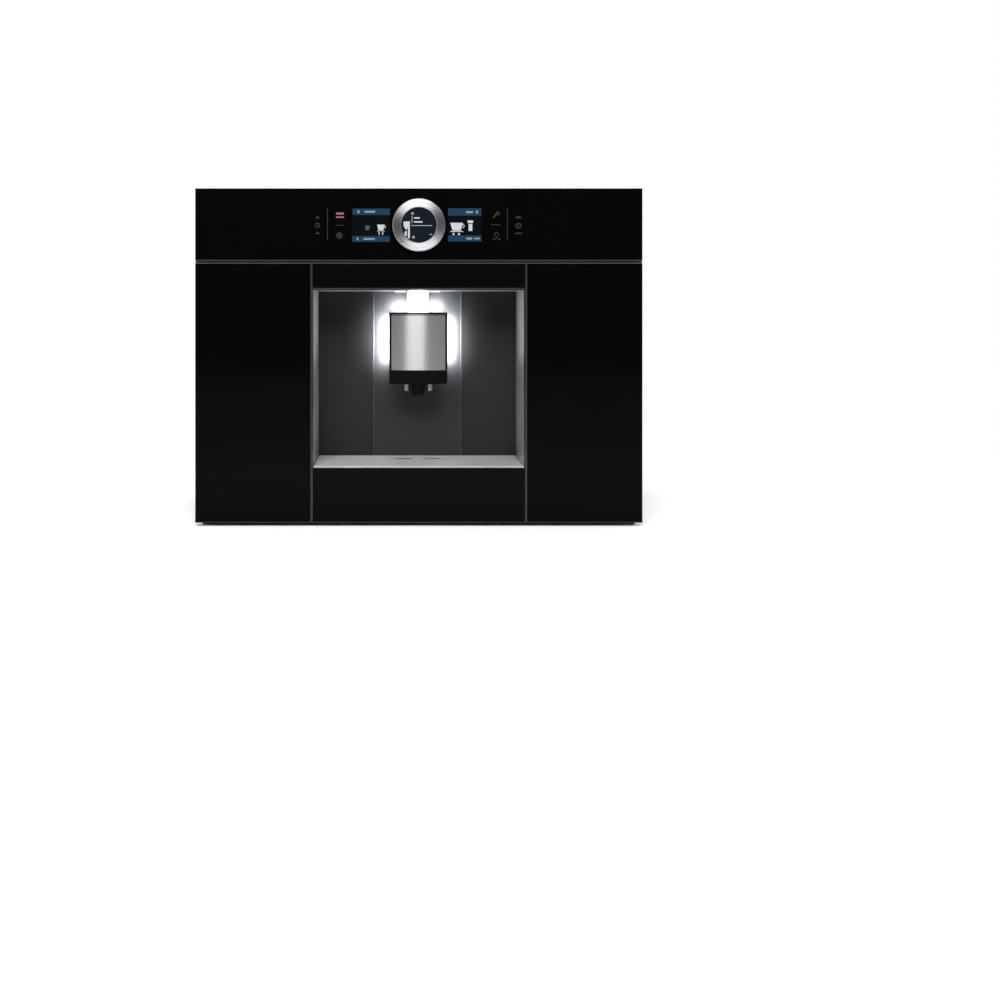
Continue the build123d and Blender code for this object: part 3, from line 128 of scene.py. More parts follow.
def new_finish(name):
    """A material, its node tree and its Principled shader."""
    finish = bpy.data.materials.new(name)
    finish.use_nodes = True
    tree = finish.node_tree
    return finish, tree, tree.nodes["Principled BSDF"]


print("node helpers are ready")

# %% [markdown]
# The background is white. The world's light is a plain soft grey, but a camera ray, a glossy ray or
# a ray through clear plastic sees white, so steel and glass reflect the same white surroundings that
# the picture shows. Only the end of the studio that the machine faces is dark at eye level, as it is
# where a camera stands: without it flat steel would mirror one even white and look like paper. The
# floor is pale, keeps the machine's shadow, and fades into white further out, so no horizon shows.

# %% World and floor
scene.view_settings.view_transform = "Standard"
world = bpy.data.worlds.new("white_studio")
scene.world = world
world.use_nodes = True
sky = world.node_tree
sky.nodes.clear()
pure_white = (1, 1, 1, 1)
away_from_dark = (-0.22, 0.975, 0.0)  # the dark end lies behind the camera, a little to the right
direction = node(sky, "TexCoord").outputs["Generated"]
facing = node(sky, "VectorMath", {0: direction, 1: away_from_dark}, operation="DOT_PRODUCT").outputs["Value"]
steepness = maths(sky, "ABSOLUTE", axes(sky, direction)["Z"])
level_band = squeeze(sky, steepness, 1.0, 0.0, from_low=0.35, from_high=0.75, curve="SMOOTHSTEP")
front_half = squeeze(sky, facing, 1.0, 0.0, from_low=-0.50, from_high=0.05, curve="SMOOTHSTEP")
dark_end = maths(sky, "MULTIPLY", level_band, front_half)
mirrored_dark = maths(sky, "MULTIPLY", dark_end, node(sky, "LightPath").outputs["Is Glossy Ray"])
brightness = squeeze(sky, mirrored_dark, 1.0, 0.10, from_low=0.0, from_high=1.0, curve="SMOOTHSTEP")
soft_light = node(sky, "Background", {"Color": pure_white, "Strength": 0.75}).outputs[0]
seen_light = node(sky, "Background", {"Color": pure_white, "Strength": brightness}).outputs[0]
either_light = node(sky, "MixShader", {0: white_rays(sky), 1: soft_light, 2: seen_light}).outputs[0]
node(sky, "OutputWorld", {"Surface": either_light})

floor_finish, tree, shader = new_finish("floor_paint")
fill(shader, {"Base Color": (0.93, 0.93, 0.93, 1), "Roughness": 0.8, "Specular IOR Level": 0.1})
place = node(tree, "TexCoord").outputs["Object"]
distance = node(tree, "VectorMath", {0: place}, operation="LENGTH").outputs["Value"]
fade = squeeze(tree, distance, 0.0, 1.0, from_low=0.5, from_high=1.7, curve="SMOOTHSTEP")
amount = maths(tree, "MULTIPLY", white_rays(tree), fade)
horizon = node(tree, "Emission").outputs[0]
blend = node(tree, "MixShader", {0: amount, 1: shader.outputs[0], 2: horizon}).outputs[0]
fill(tree.nodes["Material Output"], {"Surface": blend})
floor_side, floor_near, floor_far = 6, -4, 8
floor_mesh = bpy.data.meshes.new("floor")
floor_mesh.from_pydata([(-floor_side, floor_near, 0), (floor_side, floor_near, 0), (floor_side, floor_far, 0),
                        (-floor_side, floor_far, 0)], [], [(0, 1, 2, 3)])
floor = bpy.data.objects.new("floor", floor_mesh)
floor_mesh.materials.append(floor_finish)
scene.collection.objects.link(floor)
print("world and floor are ready")

# %% [markdown]
# One wide soft box hangs above the camera and two weak ones stand at the sides. Flat black glass
# mirrors none of them to the camera. Brushed steel does: its scratches spread the upper box into the
# bright middle of the bowed outlet cover, and into the top and bottom of the selector ring. A box over
# the machine and one behind it light its other sides.

# %% Studio lamps
def soft_box(name, place, target, size, watts):
    """A rectangular area lamp aimed at a point."""
    lamp = bpy.data.lights.new(name, "AREA")
    lamp.shape = "RECTANGLE"
    lamp.size, lamp.size_y = size
    lamp.energy = watts
    holder = bpy.data.objects.new(name, lamp)
    holder.location = place
    holder.rotation_euler = (Vector(target) - Vector(place)).to_track_quat("-Z", "Y").to_euler()
    scene.collection.objects.link(holder)
    return holder


face_middle = (0, glass_front, 0.22)
soft_box("front_soft_box", (-0.15, -1.9, 1.25), face_middle, size=(1.25, 0.7), watts=46)
soft_box("left_soft_box", (-1.9, -0.9, 0.8), face_middle, size=(0.6, 1.2), watts=4)
soft_box("right_soft_box", (1.9, -0.9, 0.8), face_middle, size=(0.6, 1.2), watts=1.2)
soft_box("top_soft_box", (0, 0.1, 1.9), (0, 0, 0.3), size=(1.4, 1.0), watts=8)
soft_box("rear_soft_box", (0.4, 1.9, 1.2), (0, 0.2, 0.22), size=(1.2, 0.8), watts=9)

# %% [markdown]
# Lamps behind the outlet wash the back panel of the cup recess and the column that the outlet slides
# on. The glowing diffusers could light it alone, but a glowing mesh leaves much noise. So small area
# lamps close to the panel, to the column and under the ceiling do the lighting.

# %% Recess lamps
def recess_lamp(name, place, target, size, watts, spread):
    """A small cool lamp that the camera doesn't see."""
    lamp = soft_box(name, place, target, size, watts)
    lamp.data.color = (0.93, 0.96, 1.0)
    lamp.data.spread = math.radians(spread)
    lamp.visible_camera = False


def wall_lamp(name, wall, gap, x, z, size, watts, spread):
    """A recess lamp that shines straight at a wall from a small gap."""
    recess_lamp(name, (x, wall - gap, z), (x, wall, z), size, watts, spread)


back_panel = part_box("niche_back_panel")[0].y
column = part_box("outlet_column")[0].y
for side in (-1, 1):
    wall_lamp("outlet_glow", back_panel, gap=0.024, x=side * 0.044, z=0.245, size=(0.010, 0.062),
              watts=0.42, spread=140)
    wall_lamp("column_glow", back_panel, gap=0.026, x=side * 0.025, z=0.292, size=(0.020, 0.014),
              watts=0.10, spread=150)
wall_lamp("column_front_glow", column, gap=0.016, x=0, z=0.299, size=(0.026, 0.022), watts=0.03, spread=110)
recess_lamp("ceiling_glow", (0, -0.142, 0.3125), (0, -0.132, 0.28), size=(0.050, 0.008),
            watts=0.015, spread=150)
print("recess lamps are on")

# %% [markdown]
# Real surfaces are never one even tone, so every finish has a pattern. It could follow the mesh's
# own grid, but here finishes read Object coordinates: a pattern keeps its real size and rides with
# its piece. The helpers below make the common ingredients: a point in the piece's own space, noise
# of a given grain, two tones, and a relief.

# %% Finish helpers
def own_point(tree, scale=(1, 1, 1), turn=(0, 0, 0), shift=(0, 0, 0)):
    """Object coordinates in metres, turned and scaled for a pattern."""
    where = node(tree, "TexCoord").outputs["Object"]
    changes = {"Vector": where, "Location": shift, "Rotation": turn, "Scale": scale}
    return node(tree, "Mapping", changes).outputs["Vector"]


def noise(tree, vector, scale, detail=3.0, roughness=0.5):
    look = {"Vector": vector, "Scale": scale, "Detail": detail, "Roughness": roughness}
    return node(tree, "TexNoise", look).outputs["Fac"]


def grey(level):
    return (level, level, level, 1)


def two_tones(tree, value, dark, light, from_low=0.3, from_high=0.7):
    """A ramp from a dark tone to a light one."""
    made = node(tree, "ValToRGB", {"Fac": value})
    low, high = made.color_ramp.elements
    low.position, high.position = from_low, from_high
    low.color, high.color = (*dark, 1), (*light, 1)
    return made.outputs["Color"]


def times(tree, colour, factor):
    """Two colours multiplied."""
    inputs = {"Factor": 1.0, 6: colour, 7: factor}
    return node(tree, "Mix", inputs, data_type="RGBA", blend_type="MULTIPLY").outputs[2]


def relief(tree, height, distance, strength=0.5):
    """The normal of a surface with this height on it."""
    inputs = {"Strength": strength, "Distance": distance, "Height": height}
    return node(tree, "Bump", inputs).outputs["Normal"]


def tangent(tree, vector):
    """A direction in the piece's own space, as the shader's tangent needs it."""
    turned = node(tree, "VectorTransform", {0: vector}, vector_type="VECTOR",
                  convert_from="OBJECT", convert_to="WORLD")
    return turned.outputs[0]


def dress(finish, *names):
    """Gives CAD pieces a finish."""
    for name in names:
        piece = machine[name]
        if not piece.material_slots:
            piece.data.materials.append(finish)
        for slot in piece.material_slots:
            slot.link = "OBJECT"
            slot.material = finish
    print(finish.name, "on", ", ".join(names))


print("pieces to dress:", len(machine))

# %% [markdown]
# The front is 4 mm glass, printed black on its back. It is far darker than any plastic and mirrors
# only a little, so its base is nearly black and its specular level is low. Where two fields meet, its
# ground edges catch the light, and here that is painted highlight: thin grey lines. Chamfers could
# make them, but a mask from the field's own box needs no change to the mesh. Faint wipe marks vary the gloss.

# %% Black printed glass
def printed_glass(piece, edges, level, ink, painted_edge_highlight=0.045, width=0.9 * MM):
    """Black glass with painted highlight lines along the named ground edges: left, right, bottom, top."""
    low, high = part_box(piece)
    finish, tree, shader = new_finish(piece + "_print")
    place = axes(tree, own_point(tree))
    limits = {"left": ("X", "LESS_THAN", low.x + width), "right": ("X", "GREATER_THAN", high.x - width),
              "bottom": ("Z", "LESS_THAN", low.z + width), "top": ("Z", "GREATER_THAN", high.z - width)}
    mask = 0.0
    for edge in edges:
        axis, test, limit = limits[edge]
        mask = maths(tree, "MAXIMUM", mask, maths(tree, test, place[axis], limit))
    wipes = noise(tree, own_point(tree, scale=(1, 1, 0.35), turn=(0, 0.5, 0)), scale=14, detail=4)
    # The grey lines along the edges are a painted highlight, not a tone of the glass.
    fill(shader, {"Base Color": two_tones(tree, mask, (ink, ink, 1.15 * ink), (painted_edge_highlight,) * 3, 0.4, 0.6),
                  "Roughness": squeeze(tree, wipes, 0.05, 0.11), "Specular IOR Level": level, "IOR": 1.5})
    return finish


highlighted_edges = {"door_glass_left": ("right", "bottom", "top"), "door_glass_right": ("left", "bottom", "top"),
                "door_fascia_upper": ("top", "bottom"), "door_fascia_lower": ("bottom",),
                "control_glass": ("bottom",)}
for field, edges in highlighted_edges.items():
    gloss = 0.05 if field == "control_glass" else 0.03
    ink = 0.0014 if "fascia" in field else 0.0010
    dress(printed_glass(field, edges, gloss, ink), field)

# %% [markdown]
# Steel on this machine is brushed. A brush leaves fine parallel scratches, which blur a reflection
# across them and keep it sharp along them. Bump alone would need scratches finer than a pixel.
# Anisotropy does it: the shader spreads a highlight along its tangent, so the tangent lies across
# the scratches. A noise that is hundreds of times longer along the scratches than across them
# varies the roughness and the tone.

# %% Straight brushed steel
def brushed_steel(name, along, across, tone, rough=(0.34, 0.44), pull=0.85, rise=0.3):
    """Steel brushed along one axis of the row frame, with the axis across the scratches."""
    finish, tree, shader = new_finish(name)
    fine, long = 1400, 6  # noise cells in a metre, across the scratches and along them
    stretch = [long if axis == along else fine for axis in "XYZ"]
    lines = noise(tree, own_point(tree, scale=stretch), scale=1.0, detail=4, roughness=0.6)
    cloud = noise(tree, own_point(tree), scale=18)
    wear = maths(tree, "MULTIPLY_ADD", cloud, 0.3, lines)
    darker = tuple(0.86 * c for c in tone)
    sideways = node(tree, "CombineXYZ", {across: 1.0}).outputs[0]
    fill(shader, {"Metallic": 1.0, "Anisotropic": pull, "Tangent": tangent(tree, sideways),
                  "Base Color": two_tones(tree, lines, darker, tone),
                  "Roughness": squeeze(tree, wear, *rough, from_low=0.45, from_high=0.85),
                  "Normal": relief(tree, lines, 0.00002, rise)})
    return finish


def painted_highlight_bands(finish, piece, bands):
    """Paints thin level bands under a piece's top edge, a highlight where the factor is above 1 and darker
    where it is below: (depth in mm, factor).
    """
    tree = finish.node_tree
    shader = tree.nodes["Principled BSDF"]
    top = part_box(piece)[1].z
    deepest = bands[-1][0]
    depth = squeeze(tree, axes(tree, own_point(tree))["Z"], 1.0, 0.0, top - deepest * MM, top)
    ramp = node(tree, "ValToRGB", {"Fac": depth})
    ramp.color_ramp.interpolation = "CONSTANT"
    stops = ramp.color_ramp.elements
    stops[0].color, stops[1].color = grey(bands[0][1]), grey(1)
    for (start, _), (_, factor) in zip(bands, bands[1:]):
        stops.new(start / deepest).color = grey(factor)
    plain = shader.inputs["Base Color"].links[0].from_socket
    fill(shader, {"Base Color": times(tree, plain, ramp.outputs["Color"])})
    return finish


cover_steel = brushed_steel("cover_steel", "X", "Z", (0.35, 0.35, 0.355), rough=(0.27, 0.34), rise=0.12)
# On the outlet cover: a painted highlight 1.3 mm deep along the top edge, then a darker line, then plain
# steel.
cover_highlight_bands = ((1.3, 1.9), (2.3, 0.25), (2.4, 1.0))
dress(painted_highlight_bands(cover_steel, "outlet_cover", cover_highlight_bands), "outlet_cover")
dress(brushed_steel("plate_steel", "X", "Y", (0.36, 0.36, 0.365), rough=(0.42, 0.52)), "drip_plate")
dress(brushed_steel("liner_steel", "Z", "Y", (0.68, 0.68, 0.69), rough=(0.28, 0.34), pull=0.95, rise=0.08),
      "niche_liner")
dress(brushed_steel("trim_steel", "Z", "X", (0.055, 0.055, 0.057)), "window_trim")

# %% [markdown]
# The selector ring was brushed while it turned on a lathe, so its scratches are circles about its
# axis. Straight scratches would give it a single streak. Here the noise reads radius and angle in
# place of X and Z, and the tangent points outwards, across the circles. That gives the bow-tie
# highlight of a turned disc.

# %% Turned steel of the selector ring
def turned_steel(name, centre, tone=(0.34, 0.34, 0.35), rough=(0.25, 0.30), pull=0.85):
    """Steel with circular scratches about an axis along Y through centre (x, z)."""
    finish, tree, shader = new_finish(name)
    x, y, z = axes(tree, own_point(tree, shift=(-centre[0], 0, -centre[1])))
    flat = node(tree, "CombineXYZ", {"X": x, "Y": z}).outputs[0]
    radius = node(tree, "VectorMath", {0: flat}, operation="LENGTH").outputs["Value"]
    angle = maths(tree, "ARCTAN2", x, z)
    fine, long = 2600, 0.8  # noise cells in a metre of radius or depth, and in a radian
    cells = {0: maths(tree, "MULTIPLY", radius, fine), 1: maths(tree, "MULTIPLY", angle, long),
             2: maths(tree, "MULTIPLY", y, fine)}
    polar = node(tree, "CombineXYZ", cells).outputs[0]
    lines = noise(tree, polar, scale=1.0, detail=4, roughness=0.6)
    darker = tuple(0.9 * c for c in tone)
    outward = node(tree, "CombineXYZ", {"X": x, "Z": z}).outputs[0]
    fill(shader, {"Metallic": 1.0, "Anisotropic": pull, "Tangent": tangent(tree, outward),
                  "Base Color": two_tones(tree, lines, darker, tone),
                  "Roughness": squeeze(tree, lines, *rough)})
    return finish


ring_low, ring_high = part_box("selector_ring")
ring_centre = ((ring_low.x + ring_high.x) / 2, (ring_low.z + ring_high.z) / 2)
dress(turned_steel("ring_steel", ring_centre), "selector_ring")

# %% [markdown]
# Small turned parts, such as pins and the spindle, are bright steel with faint tool marks. The two
# coffee nozzles are duller: coffee and steam have taken their polish. The heating block is cast
# aluminium with a sandy skin. One function makes them all: a noise that is as fine as each one's
# marks moves its tone and its gloss together.

# %% Unbrushed metals
def metal(name, dark, light, rough, grain, scale=(1, 1, 1), detail=3, harsh=0.5, depth=0.0):
    """Metal with a mottle of tone and gloss, and a relief where it has a depth."""
    finish, tree, shader = new_finish(name)
    mottle = noise(tree, own_point(tree, scale=scale), grain, detail, harsh)
    fill(shader, {"Metallic": 1.0, "Base Color": two_tones(tree, mottle, dark, light),
                  "Roughness": squeeze(tree, mottle, *rough)})
    if depth:
        fill(shader, {"Normal": relief(tree, mottle, depth)})
    return finish


bright = metal("bright_steel", (0.52, 0.52, 0.53), (0.72, 0.72, 0.74), rough=(0.14, 0.28), grain=1.0,
               scale=(900, 900, 3000), detail=2)
dress(bright, "hinge_pins", "door_strike")
dress(metal("nozzle_steel", (0.20, 0.20, 0.205), (0.34, 0.34, 0.345), rough=(0.16, 0.26), grain=420,
            scale=(1, 1, 0.4)), "coffee_nozzles")
dress(metal("cast_aluminium", (0.42, 0.42, 0.43), (0.6, 0.6, 0.61), rough=(0.42, 0.62), grain=1400,
            detail=4, harsh=0.7, depth=0.0001), "thermoblock")

# %% [markdown]
# Moulded housings have a spark-eroded grain: soft dimples under a millimetre wide. Modelled dimples
# would take millions of faces, so they are relief only. One function makes them all, with the tone
# and gloss of each, and the hoses, the boards' green resist and the motors' paint as well.

# %% Moulded plastics
mould_grain, mould_depth = 2200, 0.00004


def moulded(name, tone, rough=(0.42, 0.56), depth=mould_depth, specular=0.4):
    finish, tree, shader = new_finish(name)
    dimples = noise(tree, own_point(tree), mould_grain, detail=2, roughness=0.6)
    cloud = noise(tree, own_point(tree), scale=25)
    lighter = tuple(1.25 * c for c in tone)
    fill(shader, {"Base Color": two_tones(tree, cloud, tone, lighter), "Specular IOR Level": specular,
                  "Roughness": squeeze(tree, dimples, *rough), "Normal": relief(tree, dimples, depth)})
    return finish


dress(moulded("black_moulding", (0.010, 0.010, 0.011), specular=0.22), "door_frame", "front_frame",
      "control_housing", "drip_tray", "door_catch")
dress(moulded("control_grey", (0.075, 0.075, 0.078), rough=(0.3, 0.42)), "mains_switch", "grind_selector")
dress(moulded("outlet_black", (0.0018, 0.0018, 0.002), rough=(0.28, 0.38), specular=0.05), "outlet_housing",
      "milk_spout", "ring_hub")
dress(moulded("grey_moulding", (0.11, 0.11, 0.115)), "grounds_container", "left_shelf", "right_shelf",
      "brew_unit_frame", "grinder_housing")
dress(moulded("red_moulding", (0.30, 0.014, 0.011), rough=(0.3, 0.42)), "drip_float", "brew_lock")
dress(moulded("white_moulding", (0.50, 0.49, 0.46)), "brew_chamber", "brew_piston")
dress(moulded("column_white", (0.80, 0.81, 0.83), rough=(0.35, 0.45)), "outlet_column")
dress(moulded("smoked_lid", (0.03, 0.03, 0.033), rough=(0.12, 0.22), depth=0.00001), "tank_lid", "bean_lid")
dress(moulded("black_silicone", (0.035, 0.035, 0.036), rough=(0.6, 0.75)), "water_hose", "brew_hose",
      "cable_gland")
dress(moulded("motor_paint", (0.06, 0.06, 0.065), rough=(0.3, 0.45)), "pump", "grinder_motor")
dress(moulded("burr_ceramic", (0.72, 0.70, 0.64), rough=(0.35, 0.5)), "burr_ring", "burr_cone")
dress(moulded("solder_resist", (0.015, 0.10, 0.045), rough=(0.2, 0.35), depth=0.00001), "control_board",
      "power_board")

# %% [markdown]
# The back of the recess is three panels in one moulding. The outer ones, past the grooves, are darker
# than the middle one: painted shade, where the beads keep the lamps' grazing light off them. Two
# materials would need the mesh to be cut. Absolute X from the middle tells the panels apart on the
# piece itself.

# %% Back panel of the recess
groove_x, groove_width = 63 * MM, 0.5 * MM
panel_grey, tree, shader = new_finish("recess_panel_grey")
from_middle = maths(tree, "ABSOLUTE", axes(tree, own_point(tree))["X"])
shaded_past_groove = squeeze(tree, from_middle, 0, 1, groove_x, groove_x + groove_width)
dimples = noise(tree, own_point(tree), mould_grain, detail=2, roughness=0.6)
# Painted shade: the panels past the grooves get the darker tone.
panel_tones_and_shade = two_tones(tree, shaded_past_groove, (0.016, 0.016, 0.0165), (0.0078, 0.0078, 0.008), 0.2, 0.8)
fill(shader, {"Base Color": panel_tones_and_shade, "Roughness": squeeze(tree, dimples, 0.36, 0.48),
              "Specular IOR Level": 0.2, "Normal": relief(tree, dimples, mould_depth)})
dress(panel_grey, "niche_back_panel")

# %% [markdown]
# The tank and the bean container are clear mouldings, faintly blue. Alpha would only thin them out.
# Their walls are real walls in the frame, so transmission bends light at both faces, and a soft
# ripple keeps the reflections from looking ideal.

# %% Clear plastic
clear, tree, shader = new_finish("clear_moulding")
ripple = noise(tree, own_point(tree), scale=30, detail=2)
fill(shader, {"Base Color": (0.86, 0.91, 0.93, 1), "Transmission Weight": 1.0, "IOR": 1.49,
              "Roughness": squeeze(tree, ripple, 0.02, 0.07), "Normal": relief(tree, ripple, 0.0004, 0.25)})
dress(clear, "water_tank", "bean_container")

# %% [markdown]
# The cabinet's sheets are hot-dip galvanised. The zinc sets in crystals a few millimetres across,
# each with its own grey and gloss. Plain noise has no such borders. Voronoi cells with a warped edge
# give that spangle, two sizes of it, and slow clouds over the whole sheet keep it from looking
# printed. Along each fold a painted highlight brightens the zinc, and a thin painted shade lies beside
# it. Each sheet has its own box, so each has its own finish, made by one function.

# %% Galvanised sheet
def spangle(tree, point, scale):
    """Three random values for each crystal."""
    crystals = node(tree, "TexVoronoi", {"Vector": point, "Scale": scale}).outputs["Color"]
    return node(tree, "SeparateColor", {0: crystals}).outputs


def fold_distance(tree, point, low, high, thin=20 * MM):
    """How far a point is from the nearest fold: an end of the sheet's box, but not of its thin side."""
    nearest = 1.0
    for place, lower, upper in zip(axes(tree, point), low, high):
        if upper - lower < thin:
            continue
        for limit, sign in ((lower, 1), (upper, -1)):
            nearest = maths(tree, "MINIMUM", nearest, maths(tree, "MULTIPLY_ADD", place, sign, -sign * limit))
    return nearest


def galvanised(piece, tone=0.27, spread=0.07, fold=0.9 * MM):
    finish, tree, shader = new_finish("galvanised_" + piece)
    plain = own_point(tree)
    warp = node(tree, "TexNoise", {"Vector": plain, "Scale": 110}).outputs["Color"]
    bend = node(tree, "VectorMath", {0: warp, "Scale": 0.005}, operation="SCALE").outputs[0]
    bent = node(tree, "VectorMath", {0: plain, 1: bend}, operation="ADD").outputs[0]
    fine, coarse = spangle(tree, bent, 330), spangle(tree, bent, 150)
    clouds = noise(tree, plain, scale=7, detail=4)
    crystals = maths(tree, "ADD", squeeze(tree, fine[0], 0.0, 0.55, 0.0, 1.0),
                     squeeze(tree, coarse[0], 0.0, 0.45, 0.0, 1.0))
    cloudy = maths(tree, "MULTIPLY", crystals, squeeze(tree, clouds, 0.75, 1.15))
    light = (tone + spread, tone + spread, tone + 1.1 * spread)
    base = two_tones(tree, cloudy, (tone,) * 3, light, 0.0, 1.0)
    from_fold = fold_distance(tree, plain, *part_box(piece))
    # A painted highlight along each fold, then a thin painted shade beside it.
    fold_light_and_shade = node(tree, "ValToRGB", {"Fac": squeeze(tree, from_fold, 0.0, 1.0, 0.0, 3 * fold)})
    stops = fold_light_and_shade.color_ramp.elements
    stops[0].color, stops[1].color = grey(1.35), grey(1)
    for place, level in ((0.32, 1.2), (0.45, 0.62)):
        stops.new(place).color = grey(level)
    fill(shader, {"Metallic": 1.0, "Base Color": times(tree, base, fold_light_and_shade.outputs["Color"]),
                  "Roughness": squeeze(tree, coarse[1], 0.36, 0.50, 0.0, 1.0),
                  "Normal": relief(tree, clouds, 0.0006, 0.25)})
    return finish


for sheet in ("base_tray", "side_panel_left", "side_panel_right", "top_cover", "rear_cover"):
    dress(galvanised(sheet), sheet)
dress(galvanised("hinge_leaves", tone=0.33, spread=0.03), "hinge_leaves", "hinge_brackets")

# %% [markdown]
# The diffusers glow. One even value would look like paper, so the emission is dimmer above the
# upright strips than on them. The screens' own glass is smooth and nearly black, and doesn't glow.

# %% Glowing diffusers
glow, tree, shader = new_finish("lamp_glow")
strips_top, fade_length = 282 * MM, 20 * MM
dimmed = squeeze(tree, axes(tree, own_point(tree))["Z"], 0.0, 1.0, strips_top, strips_top + fade_length)
lamp_tones = two_tones(tree, dimmed, (0.92, 0.96, 1.0), (0.16, 0.17, 0.18), 0.2, 0.8)
fill(shader, {"Base Color": (0.9, 0.93, 0.95, 1), "Roughness": 0.4, "Emission Strength": 2.5,
              "Emission Color": lamp_tones})
dress(glow, "niche_lamps")
dress(moulded("screen_glass", (0.004, 0.006, 0.010), rough=(0.05, 0.09), depth=0.000001, specular=0.12),
      "side_displays", "display_centre")

# %% [markdown]
# Everything on the control panel lies behind its glass: two small screens, a round one in the ring,
# and touch symbols that glow faintly. The glass in front of them is opaque here, so each symbol is a
# very thin plate on the glass, a twentieth of a millimetre thick. Words are replaced by plain bars.
# Small helpers return outlines in millimetres, and one function turns a list of outlines into a mesh.

# %% Outlines in millimetres
layer = 0.05 * MM


def bar(left, right, bottom, top):
    return [[(left, bottom), (right, bottom), (right, top), (left, top)]]


def disc(x, z, radius, sides=24):
    turn = 2 * math.pi / sides
    return [[(x + radius * math.cos(i * turn), z + radius * math.sin(i * turn)) for i in range(sides)]]


def hoop(x, z, radius, width, start=0.0, sweep=359.0, steps=20):
    """A round line, nearly whole or from one angle on, as one outline: out along it and back inside."""
    angles = [math.radians(start + sweep * i / steps) for i in range(steps + 1)]
    path = [(radius + width / 2, a) for a in angles] + [(radius - width / 2, a) for a in reversed(angles)]
    return [[(x + r * math.cos(a), z + r * math.sin(a)) for r, a in path]]


def cup(x, z, width, height):
    """A cup from the side: tapered body, ear and saucer."""
    half, foot = width / 2, 0.32 * width
    body = [[(x - foot, z), (x + foot, z), (x + half, z + height), (x - half, z + height)]]
    ear = hoop(x + 0.47 * width, z + 0.58 * height, 0.2 * height, 0.09 * height, -100, 200, 10)
    return body + ear + bar(x - half, x + half, z - 0.16 * height, z - 0.06 * height)


def inlay(name, outlines, front, finish):
    """One thin mesh from many outlines, on a face at depth front."""
    work = bmesh.new()
    for outline in outlines:
        area = sum(a[0] * b[1] - b[0] * a[1] for a, b in zip(outline, outline[1:] + outline[:1]))
        ring = outline if area > 0 else outline[::-1]
        near = [work.verts.new((x * MM, front - layer, z * MM)) for x, z in ring]
        far = [work.verts.new((x * MM, front, z * MM)) for x, z in ring]
        work.faces.new(near)
        work.faces.new(far[::-1])
        for i in range(len(ring)):
            j = (i + 1) % len(ring)
            work.faces.new((near[j], near[i], far[i], far[j]))
    mesh = bpy.data.meshes.new(name)
    work.to_mesh(mesh)
    work.free()
    mesh.materials.append(finish)
    plate = bpy.data.objects.new(name, mesh)
    scene.collection.objects.link(plate)
    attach(plate, "cabinet_body")
    print(name, "has", len(outlines), "plates")


print("plates are", round(layer / MM, 3), "mm thick")

# %% [markdown]
# A screen glows by itself, in rows of pixels. Its finish is an emission whose brightness varies a
# little over the rows, on a black base that still mirrors like glass.

# %% Glowing colours
def lit(name, colour):
    """A glowing colour, a quarter darker between the rows of pixels."""
    finish, tree, shader = new_finish(name)
    rows = {"Vector": own_point(tree), "Scale": 900, "Distortion": 0.0}
    pixels = node(tree, "TexWave", rows, wave_type="BANDS", bands_direction="Z").outputs["Fac"]
    darker = tuple(0.75 * c for c in colour)
    fill(shader, {"Base Color": (0.002, 0.002, 0.003, 1), "Roughness": 0.12, "Specular IOR Level": 0.05,
                  "Emission Color": two_tones(tree, pixels, darker, colour, 0.0, 1.0),
                  "Emission Strength": 1.0})
    return finish


screen_black = lit("screen_black", (0.0004, 0.0008, 0.0020))
screen_blue = lit("screen_blue", (0.017, 0.053, 0.105))
screen_white = lit("screen_white", (0.72, 0.76, 0.78))
screen_grey = lit("screen_grey", (0.10, 0.11, 0.13))
word_tone = lit("screen_word_tone", (0.30, 0.37, 0.42))
touch_grey = lit("touch_grey", (0.060, 0.060, 0.062))
touch_rose = lit("touch_rose", (0.42, 0.17, 0.21))
print("screen and touch colours are ready")

# %% [markdown]
# Each screen has a blue bar at its top and bottom, which name the drinks on the real machine, and
# cups between them. Positions are measured from the screen's own middle.

# %% Left and right screens
left_screen, right_screen = (-63.0, 400.5), (61.0, 400.5)


def on_screens(left, right):
    """Outlines of the left and the right screen, moved to each one's middle."""
    return [[(x + middle[0], z + middle[1]) for x, z in outline]
            for middle, outlines in ((left_screen, left), (right_screen, right)) for outline in outlines]


areas = on_screens(bar(-25.5, 25, -22.7, 21.8), bar(-22.5, 22.2, -22.2, 22.2))
bars = on_screens(bar(-25, 24.6, 13.2, 21.7) + bar(-25.4, 24.4, -22.5, -14.8),
                  bar(-22.2, 22, 12.2, 22) + bar(-22.2, 22, -22, -14))
words = on_screens(bar(-9, 4.8, 16.2, 18.8) + bar(-18.5, -15.8, 15.6, 19.4)
                   + bar(-10.5, 4.5, -19.8, -17.4) + bar(-19.5, -17.2, -20.3, -16.8),
                   bar(1.6, 11, 15.6, 18.2) + bar(15, 17.4, 15, 19.2)
                   + bar(2.2, 10, -19.5, -16.8) + bar(12.6, 19.8, -19.2, -17))
cups = on_screens(cup(12.6, -7.2, 10, 7.6) + bar(9.6, 10.8, -13.2, -9.2) + bar(14.4, 15.6, -13.2, -9.2),
                  cup(-10.8, -7.6, 17, 10.4) + disc(-15, -12.2, 1.5, 12) + disc(-7.8, -12.2, 1.5, 12)
                  + bar(3.8, 11, 2.6, 6) + bar(5, 10, -8, 1.4))
inlay("screen_fields", areas, glass_front, screen_black)
inlay("screen_bars", bars, glass_front - layer, screen_blue)
inlay("screen_words", words, glass_front - 2 * layer, word_tone)
inlay("screen_cups", cups, glass_front - 2 * layer, screen_white)
inlay("screen_small_cup", on_screens(cup(-5.6, -6.4, 6, 5.6), []), glass_front - 2 * layer, screen_grey)

# %% [markdown]
# The round screen shows a cup at its left and a few lines beside it. It is a display of its own inside
# the ring, so its plates lie on its own face. The foot of the cup reaches just under the ring's edge.

